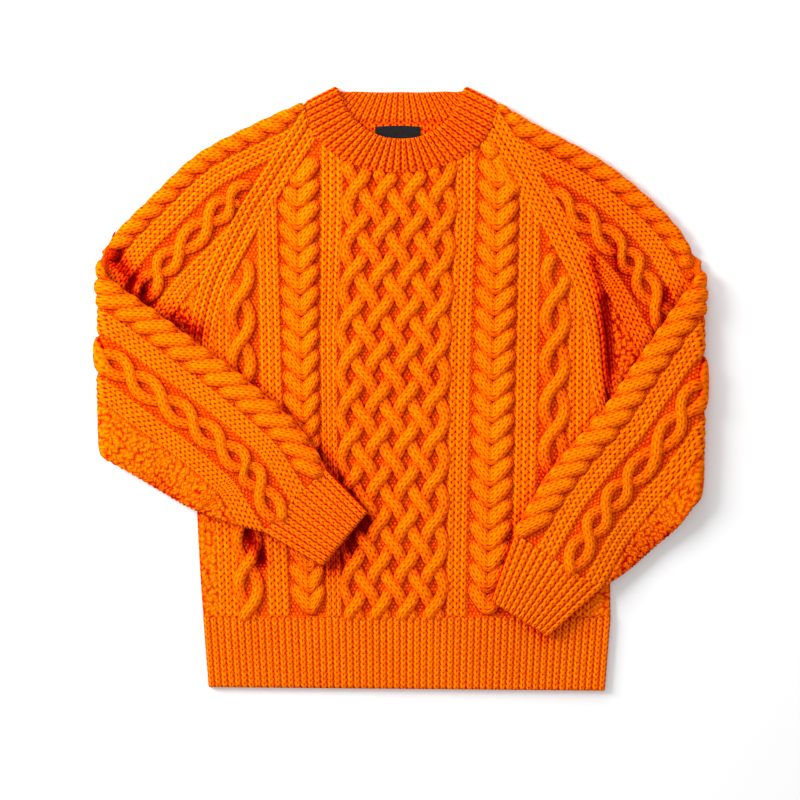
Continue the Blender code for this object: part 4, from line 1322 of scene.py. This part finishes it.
@dataclass
class SleeveChart:
    """Lays a sleeve's pattern on one face of it: distance from the top line, length along."""

    roll: SleeveRoll
    spine: Spine
    seam: Array
    turn: float
    back: bool
    puff: float = 2.6
    wrap: float = 1.9
    pressed: float = 0.62

    def __post_init__(self) -> None:
        """Reads the sleeve's width along its top line."""
        off, arc = self.spine.read(self.seam[:, 0], self.seam[:, 1])
        order = np.argsort(arc)
        self.width = arc[order], off[order]

    def swell(self, off: Array, arc: Array) -> Array:
        """Height of the soft dome across the sleeve, from 0 at both edges."""
        share = np.clip(off / np.interp(arc, *self.width), 0.0, 1.0)
        return self.puff * (1 - (2 * share - 1) ** 2) ** 0.7

    def place(self, across: Array, along: Array, height: Array) -> Array:
        """World points for pattern places and heights over the shown face.

        Inside the fold's radius r of the top line the cloth bends round the fold: the
        angle grows to the wrap as the wrap times tanh of the distance past r over r times
        the wrap, and the height fades round the bend.
        """
        off = np.asarray(across + self.turn)
        low = FOREARM_FACE if self.back else 0.0
        radius = (FRONT_FACE - low) / 2
        past = np.maximum(radius - off, 0.0)
        angle = self.wrap * np.tanh(past / (radius * self.wrap))
        x, y = self.spine.place(off, along)
        swell = self.swell(off, np.broadcast_to(along, off.shape))
        if not self.back:
            under = cover(x, y, self.roll.cut.outline())
            swell = swell * (1 - under)
            height = np.where(height > 0, height * (1 - (1 - self.pressed) * under), height)
        height = height + swell
        faded = height * (1 - 0.55 * soft(angle, 0.5, 1.5))
        bent = radius - (radius + faded) * np.sin(angle)
        x, y = self.spine.place(np.where(past > 0, bent, off), along)
        level = (radius + faded) * np.cos(angle)
        middle = (FRONT_FACE + low) / 2
        return self.roll.lift(x, y, middle - level if self.back else middle + level)

    def read(self, x: Array, y: Array) -> tuple[Array, Array]:
        """Pattern places of flat layout places."""
        off, arc = self.spine.read(x, y)
        return off - self.turn, arc


@dataclass
class Sleeve:
    """One sleeve: a folded sheet with a rope, ribs, links and moss, and its cuff rib."""

    wool: bpy.types.Material
    cable: bpy.types.Material
    ribbing: bpy.types.Material
    cut: SleeveCut
    step: float = 2.0
    turn: float = 10.5
    rope_centre: float = 3.5
    rope_swing: float = 11.0
    rope_reach: float = 25.0
    rope_half: float = 9.0
    rope_period: float = 24.0
    link_centre: float = 62.0
    link_period: float = 43.0
    link_swing: float = 10.0
    link_half: float = 6.8
    rib_starts: tuple = (20.0, 81.5)
    rib_pitch: float = 7.3
    moss_start: float = 105.0
    rib_rise: float = 1.6
    moss_rise: float = 0.7
    sunk: float = -1.5
    roll_steps: int = 26
    across_steps: int = 84
    ripple: float = 0.8
    over_cuff: float = 7.0
    past_spine: float = 60.0

    def __post_init__(self) -> None:
        """Works out the layout and both charts."""
        self.roll = SleeveRoll(self.cut)
        seam = CUT.raglan + CUT.side(self.cut.side)[:1]
        self.upper = [a + c for a, c in zip(self.cut.top, seam)] + list(self.cut.elbow)
        self.lower = self.roll.unfold(self.cut.forearm)
        top = dense([row[0:2] for row in self.upper])
        sewn = dense([row[2:4] for row in self.upper])
        spine = Spine(top, after=60.0, ease=40.0)
        self.front = SleeveChart(self.roll, spine, sewn, 0.0, False)
        low = dense(np.concatenate([[self.upper[-1][0:2]], self.lower[:, 0:2]]))
        spine = Spine(low, before=30.0, ease=24.0)
        spine.arc -= travelled(low)[24]
        self.rear = SleeveChart(self.roll, spine, dense(self.lower[:, 2:4]), self.turn, True)
        self.label = self.cut.side.name.lower()

    def relief(self, across: Array, along: Array) -> Array:
        """Height of the cloth without cables at pattern places."""
        height = np.full(across.shape, self.sunk)
        for start in self.rib_starts:
            inside = (across >= start - 0.8) & (across <= start + 3 * self.rib_pitch + 0.8)
            height = np.where(inside, self.rib_rise * rib_wave(across - start, self.rib_pitch), height)
        moss = 0.5 + self.moss_rise * moss_wave(across, along)
        return np.where(across > self.moss_start, moss, height)

    def stitches(self, across: Array, along: Array) -> tuple[Array, Array]:
        """Stitch places at quad corners, and the value of Stitch for each quad."""
        across, along = corners(across), corners(along)
        middle = across.mean(axis=2)
        u = across / PURL_STITCH
        v = along / PURL_ROW
        purl = np.full(middle.shape, Stitch.PURL.value)
        for start in self.rib_starts:
            inside = (middle >= start) & (middle <= start + 3 * self.rib_pitch)
            u = np.where(inside[..., None], (across - start) / self.rib_pitch, u)
            v = np.where(inside[..., None], along / ROW, v)
            purl = np.where(inside, Stitch.KNIT.value, purl)
        moss = (middle > self.moss_start)[..., None]
        moss_u, moss_v = moss_place(across, along)
        u = np.where(moss, moss_u, u)
        v = np.where(moss, moss_v, v)
        return np.stack([u, v], axis=-1), np.where(moss[..., 0], Stitch.MOSS.value, purl)

    def stations(self) -> tuple[Array, Array]:
        """Edge and seam places of every section in the flat layout, and the back's level."""
        first = spline(self.upper, even_rows(self.upper, self.step))
        last = spline(self.lower[:, 0:4], even_rows(self.lower[:, 0:4], self.step))
        ripple = self.ripple * np.cos(2 * np.pi * np.arange(len(last)) * self.step / MOSS_STITCH)
        last[:, 2:4] += unit(last[:, 2:4] - last[:, 0:2]) * ripple[:, None]
        share = np.linspace(0, 1, self.roll_steps + 1)[1:-1, None]
        middle = first[-1] + (last[0] - first[-1]) * share
        rows = np.concatenate([first, middle, last])
        turn = np.clip((np.arange(len(rows)) - len(first) + 1) / self.roll_steps, 0, 1)
        return rows, FOREARM_FACE * turn

    def cloth(self) -> bpy.types.Object:
        """The folded sheet, one closed ring of points for each section.

        A ring runs from the seam over the front to the top line, round it in half a turn,
        over the back to the seam, and returns inside.
        """
        rows, back_level = self.stations()
        edge, seam = rows[:, None, 0:2], rows[:, None, 2:4]
        share = np.linspace(0.02, 1.0, self.across_steps)
        plan = edge + (seam - edge) * share[None, :, None]
        x, y = plan[..., 0], plan[..., 1]
        back_level = back_level[:, None]
        front_across, front_along = self.front.read(x, y)
        rear_across, rear_along = self.rear.read(x, y)
        bend = x - self.roll.start
        front_fade = soft(-bend, 4.0, 22.0)
        rear_fade = soft(bend, -2.0, 8.0)
        off, arc = self.raglan(x, y)
        band = self.rib_rise * rib_wave(off, RAGLAN_STITCH)
        front_height = self.relief(front_across, front_along)
        front_height = np.where(off < RAGLAN_BAND, 0.4 + band, front_height) * front_fade
        rear_height = self.relief(rear_across, rear_along) * rear_fade
        ends = np.minimum(1.0, (1.0 - share) * 25.0) * np.minimum(1.0, share * 30.0)
        front_height = front_height * ends[None, :]
        rear_height = rear_height * ends[None, :]
        under = cover(x, y, self.cut.outline()) * (x < self.roll.start)
        swell = self.front.swell(front_across, front_along) * front_fade * (1 - under)
        front_level = FRONT_FACE + swell + front_height * np.where(front_height > 0, 1 - 0.38 * under, 1.0)
        outer = self.roll.lift(x, y, front_level)[:, ::-1]
        swell = self.rear.swell(rear_across + self.turn, rear_along) * rear_fade
        rear = self.roll.lift(x, y, back_level - rear_height - swell)
        angle = np.linspace(0.0, math.pi, 7)[None, 1:-1]
        mid = (FRONT_FACE + back_level) / 2
        span = (FRONT_FACE - back_level) / 2
        width = np.linalg.norm(seam - edge, axis=2)
        near = 0.02 * (1 - np.sin(angle)) * np.ones_like(width)
        nose = edge + (seam - edge) * near[..., None]
        nose_points = self.roll.lift(nose[..., 0], nose[..., 1], mid + span * np.cos(angle))
        inner_share = np.array([1.0, 0.66, 0.33, 0.05])
        inner = edge + (seam - edge) * inner_share[None, :, None]
        back_in = self.roll.lift(inner[..., 0], inner[..., 1], np.full(inner.shape[:2], BACK_PLY))
        front_in = self.roll.lift(inner[..., 0], inner[..., 1], np.full(inner.shape[:2], FRONT_INSIDE))
        ring = np.concatenate([outer, nose_points, rear, back_in, front_in[:, ::-1]], axis=1)
        places = np.zeros(ring.shape[:1] + (ring.shape[1] + 1, 2))
        corner = corners(places)
        purl = np.zeros(corner.shape[:2])
        count = len(share)
        front_places, front_purl = self.stitches(front_across[:, ::-1], front_along[:, ::-1])
        seam_off, seam_arc = corners(off[:, ::-1]), corners(arc[:, ::-1])
        on_band = seam_off.mean(axis=2) < RAGLAN_BAND
        banded = np.stack([seam_off / RAGLAN_STITCH, seam_arc / ROW], axis=-1)
        front_places = np.where(on_band[..., None, None], banded, front_places)
        corner[:, :count - 1] = front_places
        purl[:, :count - 1] = np.where(on_band, Stitch.KNIT.value, front_purl)
        rear_places, rear_purl = self.stitches(rear_across, rear_along)
        first = count + nose_points.shape[1]
        corner[:, first:first + count - 1] = rear_places
        purl[:, first:first + count - 1] = rear_purl
        # Painted shade: the fold and inner faces take a middle rise; the faces are darker in the sunk ground
        # and lighter on the ribs and moss.
        rise = np.full(ring.shape[:2], 0.5)
        tall = self.rib_rise - self.sunk
        rise[:, :count] = 0.62 + 0.30 * np.clip((front_height[:, ::-1] - self.sunk) / tall, 0, 1)
        rise[:, first:first + count] = 0.62 + 0.30 * np.clip((rear_height - self.sunk) / tall, 0, 1)
        knit = Knit()
        ids = knit.grid(ring, corner, rise, purl, wrap=True)
        knit.caps.append(ids[0, :-1].tolist())
        knit.caps.append(ids[-1, :-1][::-1].tolist())
        return knit.make(f"{self.label}_sleeve_cloth", self.wool, [f"{self.label}_sleeve"])

    def raglan(self, x: Array, y: Array) -> tuple[Array, Array]:
        """Distance from the raglan seam into the sleeve, and arc length along the seam."""
        seam = dense(CUT.raglan + CUT.side(self.cut.side)[:1] + (self.cut.elbow[0][2:4],))
        seam = seam[:len(CUT.raglan) * 24 + 1]
        off, arc = Spine(seam, before=20.0).read(x, y)
        past = arc > travelled(seam)[-1]
        return np.where(past, FAR, np.abs(off)), arc

    def room(self, chart: SleeveChart, line: Array) -> Array:
        """Where a cable of a chart has room on the sleeve."""
        x, y = chart.spine.place(line[:, 0] + chart.turn, line[:, 1])
        if chart.back:
            last = self.rear_end()
            return (x > self.roll.start - 3.0) & (line[:, 1] < last(line[:, 0] + chart.turn))
        off, _ = self.raglan(x, y)
        return (off > RAGLAN_BAND - 2.0) & (x < self.roll.start + 3.0) & (x > 100.0)

    def rear_end(self) -> Callable[[Array], Array]:
        """Length along the back's spine at which cables end on the cuff, by distance off it."""
        row = self.lower[-1]
        share = np.linspace(0, 1, 30)
        x = row[0] + (row[2] - row[0]) * share
        y = row[1] + (row[3] - row[1]) * share
        off, arc = self.rear.spine.read(x, y)
        order = np.argsort(off)
        return lambda place: np.interp(place, off[order], arc[order]) + self.over_cuff

    def lay(self, knit: Knit, chart: SleeveChart, line: Array, top: Array, half: float,
            stitches: float, **shape: float) -> None:
        """Adds the stretches of a strand that have room."""
        for run in runs(self.room(chart, line)):
            knit.strand(chart, line[run], top[run], half, stitches, **shape)

    def rope(self, chart: SleeveChart, name: str) -> bpy.types.Object:
        """Lobes of the twisted rope by the top line.

        A lobe crosses the rope as a sine of its share, from the inner rim near the neck to
        the outer rim further down, so its ends run along the rope. It is highest halfway
        and sinks with the square of the share under its neighbours.
        """
        knit = Knit()
        share = np.linspace(-1.0, 1.0, 23)
        first, last = chart.spine.arc[0], chart.spine.arc[-1]
        for middle in np.arange(first, last, self.rope_period):
            place = self.rope_centre - self.rope_swing * np.sin(np.pi / 2 * share)
            along = middle + self.rope_reach * share
            place = place - chart.turn * soft(-along, 2.0, 36.0)
            line = np.stack([place, along], axis=1)
            crest = (6.2 if chart.back else 5.0) - 4.2 * share ** 2
            self.lay(knit, chart, line, crest, self.rope_half, 3.0, taper=11.0)
        return knit.make(name, self.cable)

    def links(self, chart: SleeveChart, name: str) -> bpy.types.Object:
        """Two strands that part and cross in open links along the sleeve."""
        knit = Knit()
        end = chart.spine.arc[-1] + self.past_spine * chart.back
        along = np.arange(chart.spine.arc[0], end, 2.4)
        turn = np.pi * along / self.link_period
        for sense in (-1.0, 1.0):
            swing = np.sign(np.sin(turn)) * np.abs(np.sin(turn)) ** 0.85
            place = self.link_centre + sense * self.link_swing * swing
            crest = 4.2 + sense * 1.6 * np.cos(turn)
            line = np.stack([place, along], axis=1)
            self.lay(knit, chart, line, crest, self.link_half, 2.0)
        return knit.make(name, self.cable)

    def build(self) -> None:
        """Makes the sleeve with its cables and its cuff."""
        cloth = self.cloth()
        for chart, word in ((self.front, "upper"), (self.rear, "fore")):
            self.rope(chart, f"{self.label}_{word}_rope")
            self.links(chart, f"{self.label}_{word}_links")
        self.cuff()

    def cuff(self) -> None:
        """The cuff rib, a flat tube of knit and purl columns, level on its lower side."""
        start = self.cut.forearm[-1][0:4]
        rows = self.roll.unfold((start, self.cut.cuff_end))
        gap = 0.12 / math.dist(rows[0, 0:2], rows[1, 0:2])
        along = np.linspace(gap, 1.0, 46)
        sections = rows[0] + (rows[1] - rows[0]) * along[:, None]
        edge, seam = sections[:, None, 0:2], sections[:, None, 2:4]
        share = np.linspace(0.03, 1.0, 105)
        count = 13
        wave = rib_wave(share * count, 1.0)[None, :]
        lip = np.clip((1 - along) * 70.0 / 3.0, 0, 1)[:, None]
        lip = np.sqrt(1 - (1 - lip) ** 2)
        plan = edge + (seam - edge) * share[None, :, None]
        puff = self.rear.puff * (1 - 0.4 * along[:, None])
        dome = puff * (1 - (2 * share[None, :] - 1) ** 2) ** 0.7
        height = (dome + 2.0 * wave - 0.3) * lip - 1.8 * (1 - lip)
        rear = self.roll.lift(plan[..., 0], plan[..., 1], FOREARM_FACE - height)
        outer = self.roll.lift(plan[..., 0], plan[..., 1], np.full(plan.shape[:2], FRONT_FACE))[:, ::-1]
        angle = np.linspace(0, math.pi, 7)[None, 1:-1]
        near = 0.03 * (1 - np.sin(angle)) * np.ones((len(along), 1))
        nose = edge + (seam - edge) * near[..., None]
        mid, span = (FRONT_FACE + FOREARM_FACE) / 2, (FRONT_FACE - FOREARM_FACE) / 2
        round_level = mid + span * np.cos(angle) * np.ones_like(near)
        nose_points = self.roll.lift(nose[..., 0], nose[..., 1], round_level)
        inner_share = np.array([1.0, 0.5, 0.06])
        inner = edge + (seam - edge) * inner_share[None, :, None]
        back_in = self.roll.lift(inner[..., 0], inner[..., 1], np.full(inner.shape[:2], BACK_PLY))
        front_in = self.roll.lift(inner[..., 0], inner[..., 1], np.full(inner.shape[:2], FRONT_INSIDE))
        ring = np.concatenate([outer, nose_points, rear, back_in, front_in[:, ::-1]], axis=1)
        u = np.zeros(ring.shape[1] + 1)
        size = len(share)
        first = size + nose_points.shape[1]
        u[:size] = share[::-1] * count
        u[first:first + size] = share * count
        u, v = np.broadcast_arrays(u[None, :], along[:, None] * 62.0)
        places = rib_places(u, v)
        # Painted shade: the cuff's end, fold and inner faces take a low rise and a darker colour; its faces
        # are darker between the ribs.
        rise = np.full(ring.shape[:2], 0.3)
        rise[:, :size] = 0.64 + 0.32 * wave[:, ::-1]
        rise[:, first:first + size] = 0.64 + 0.32 * wave
        knit = Knit()
        ids = knit.grid(ring, places, rise, wrap=True)
        knit.caps.append(ids[0, :-1].tolist())
        knit.caps.append(ids[-1, :-1][::-1].tolist())
        cuff = knit.make(f"{self.label}_cuff_rib", self.ribbing, [f"{self.label}_cuff"])


# Neckband and label

@dataclass
class Neckband:
    """The doubled rib band round the neck, folded flat at both shoulders."""

    wool: bpy.types.Material
    half: float = 2.5
    turn: float = 3.0
    rise: float = 2.2
    pitch: float = 7.0
    step: float = 1.1
    foot: float = 0.045

    def rows(self) -> Array:
        """Seam and free edge all round: front half, fold, back half, and mirrored."""
        front = spline(CUT.band_front, even_rows(CUT.band_front, self.step, 3))
        back = spline(CUT.band_back, even_rows(CUT.band_back, self.step, 3))
        fold = np.array(CUT.band_front[-1])
        line = unit(fold[3:5] - fold[0:2])
        out = np.array([line[1], -line[0]])
        out = out if out.sum() > 0 else -out
        angle = np.linspace(0, math.pi, 14)[1:-1, None]
        shift = out * self.turn * np.sin(angle)
        level = self.half + self.turn * (1 + np.cos(angle))
        turn = np.concatenate([fold[0:2] + shift, level, fold[3:5] + shift, level], axis=1)
        half = np.concatenate([front, turn, back])
        mirrored = half[1:-1][::-1] * np.array([-1, 1, 1, -1, 1, 1])
        return np.concatenate([half, mirrored])

    def build(self) -> None:
        """Carries a flat oval section round the neck, with ribs on both of its faces."""
        rows = self.rows()
        seam, free = rows[:, 0:3], rows[:, 3:6]
        rise = unit(free - seam)
        middle = (seam + free) / 2
        around = np.roll(middle, -1, axis=0) - np.roll(middle, 1, axis=0)
        out = unit(np.cross(rise, around))
        out = out if out[0, 2] > 0 else -out
        length = travelled(np.concatenate([middle, middle[:1]]))
        ribs = round(length[-1] / self.pitch)
        phase = length / length[-1] * ribs
        wave = rib_wave(phase[:-1], 1.0)[:, None]
        up = np.concatenate([[-self.foot, -0.5 * self.foot], np.linspace(0.02, 1.0, 21)])
        width = np.linalg.norm(free - seam, axis=1)[:, None]
        lip = np.clip((1 - up[None, :]) * width / 2.8, 0, 1)
        lip = np.sqrt(np.clip(1 - (1 - lip) ** 2, 0, 1))
        foot = soft(up, -2 * self.foot, 0.14)[None, :]
        reach = (self.half + self.rise * (wave - 0.45)) * foot + 0.35 * (1 - foot)
        reach = reach * np.maximum(lip, 0.02)
        base = seam[:, None, :] + (free - seam)[:, None, :] * up[None, :, None]
        outer = base + out[:, None, :] * reach[..., None]
        flat = np.maximum(lip, 0.02) * (self.half + 0.5 * self.rise * (wave - 0.6))
        inner = (base - out[:, None, :] * flat[..., None])[:, :2:-1]
        under = seam[:, None, :] + out[:, None, :] * 0.15
        ring = np.concatenate([outer, inner, under], axis=1)
        ring[..., 2] = np.maximum(ring[..., 2], 0.0)
        ring = np.concatenate([ring, ring[:1]])
        v = np.concatenate([up, up[:2:-1], [0.0], up[:1]]) * 36.0
        places = rib_places(*np.broadcast_arrays(phase[:, None], v[None, :]))
        crest = np.concatenate([wave, wave[:1]])
        knit = Knit()
        # Painted shade: the band's colour is darker than the cloth's, and darker still between its ribs.
        self.closed(knit, ring, places, 0.40 + 0.40 * np.broadcast_to(crest, ring.shape[:2]))
        band = knit.make("neck_rib", self.wool, ["neckband"])

    def closed(self, knit: Knit, ring: Array, places: Array, rise: Array) -> None:
        """Adds a ring of sections that closes on its own start, without doubled points."""
        rows, columns = ring.shape[0] - 1, ring.shape[1]
        ids = np.arange(rows * columns).reshape(rows, columns)
        ids = np.concatenate([ids, ids[:1]])
        ids = np.concatenate([ids, ids[:, :1]], axis=1)
        knit.points.append(ring[:-1].reshape(-1, 3))
        knit.rise.append(rise[:-1].reshape(-1))
        knit.quads.append(corners(ids).reshape(-1, 4))
        knit.places.append(places.reshape(-1, 4, 2))
        knit.purl.append(np.zeros(rows * columns))
        knit.count += rows * columns


@dataclass
class NeckLabel:
    """The bare woven label inside the back."""

    weave: bpy.types.Material
    wide: float = 50.0
    tall: float = 23.0
    thick: float = 0.7
    middle: tuple = (-3.5, 276.0)
    bow: float = 1.2

    def build(self) -> None:
        """A thin slab with a slightly bowed top edge and rounded rims."""
        across, up = np.meshgrid(np.linspace(-1, 1, 41), np.linspace(-1, 1, 21))
        x = self.middle[0] + across * self.wide / 2
        y = self.middle[1] + up * self.tall / 2 + self.bow * (1 - across ** 2) * (up + 1) / 2
        edge = np.minimum(1 - np.abs(across), (1 - np.abs(up)) * self.tall / self.wide) * self.wide / 2
        z = FRONT_INSIDE + self.thick * (0.75 + 0.25 * soft(edge, 0.0, 1.0))
        z = z - 0.15 * np.exp(-((edge - 2.0) / 0.5) ** 2)
        places = np.stack([x, y], axis=-1) / 0.5
        knit = Knit()
        ids = knit.grid(np.stack([x, y, z], axis=-1), places, 1.0)
        border = border_of(ids)
        low = np.concatenate(knit.points)[border].copy()
        low[:, 2] = FRONT_INSIDE
        knit.wall(border, low)
        label = knit.make("neck_label_weave", self.weave, ["neck_label"])


# Studio

@dataclass
class Studio:
    """Plain pale floor, soft light from the upper left and a camera straight above."""

    view_wide: float = 0.880
    centre: tuple = (-0.0011, -0.01265)
    height: float = 3.0
    sensor: float = 36.0
    floor_half: float = 6.0
    sky: float = 0.58
    # columns: name, place, side, watts
    lamps: tuple = (
        ("key", (-1.6, 0.7, 1.05), 1.0, 60.0),
        ("top", (-0.2, 1.9, 0.6), 1.0, 24.0),
        ("fill", (0.3, -0.9, 2.6), 2.4, 16.0),
    )

    def floor(self) -> None:
        """A plain square that the sweater lies on."""
        half = self.floor_half
        mesh = bpy.data.meshes.new("floor")
        mesh.from_pydata([(-half, -half, 0), (half, -half, 0), (half, half, 0), (-half, half, 0)],
                         [], [(0, 1, 2, 3)])
        mesh.materials.append(Paper().material())
        floor = bpy.data.objects.new("floor", mesh)
        bpy.context.scene.collection.objects.link(floor)

    def light(self, name: str, place: tuple, size: float, power: float) -> None:
        """One square area light that looks at the sweater."""
        data = bpy.data.lights.new(name, "AREA")
        data.size = size
        data.energy = power
        lamp = bpy.data.objects.new(name, data)
        lamp.location = place
        direction = -lamp.location
        lamp.rotation_euler = direction.to_track_quat("-Z", "Y").to_euler()
        bpy.context.scene.collection.objects.link(lamp)

    def camera(self) -> None:
        """A long lens straight above the sweater."""
        data = bpy.data.cameras.new("camera")
        data.sensor_width = self.sensor
        data.lens = self.sensor * self.height / self.view_wide
        data.clip_end = 50.0
        camera = bpy.data.objects.new("camera", data)
        camera.location = (*self.centre, self.height)
        bpy.context.scene.collection.objects.link(camera)
        bpy.context.scene.camera = camera

    def build(self) -> None:
        """Sets up floor, lights, sky and camera."""
        scene = bpy.context.scene
        self.floor()
        self.camera()
        for name, place, size, power in self.lamps:
            self.light(name, place, size, power)
        world = bpy.data.worlds.new("sky")
        world.use_nodes = True
        world.node_tree.nodes["Background"].inputs[0].default_value = (1.0, 1.0, 1.0, 1.0)
        world.node_tree.nodes["Background"].inputs[1].default_value = self.sky
        scene.world = world
        scene.view_settings.view_transform = "Standard"


def main() -> None:
    """Builds every piece in order."""
    logging.basicConfig(level=logging.INFO, format="%(message)s")
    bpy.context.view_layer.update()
    stitch_group()
    fibre_group()
    cloth = Wool("body_wool").material()
    cable = Wool("cable_wool", contrast=0.56, middle=0.62, groove=0.42).material()
    ribbing = Wool("rib_wool", contrast=0.8, middle=0.8, groove=0.45, depth=0.95).material()
    BackPanel(cloth).build()
    FrontPanel(cloth, cable).build()
    HemRib(ribbing).build()
    for cut in (LEFT_CUT, RIGHT_CUT):
        Sleeve(cloth, cable, ribbing, cut).build()
    Neckband(ribbing).build()
    NeckLabel(LabelWeave().material()).build()
    Studio().build()


if __name__ == "__main__":
    main()
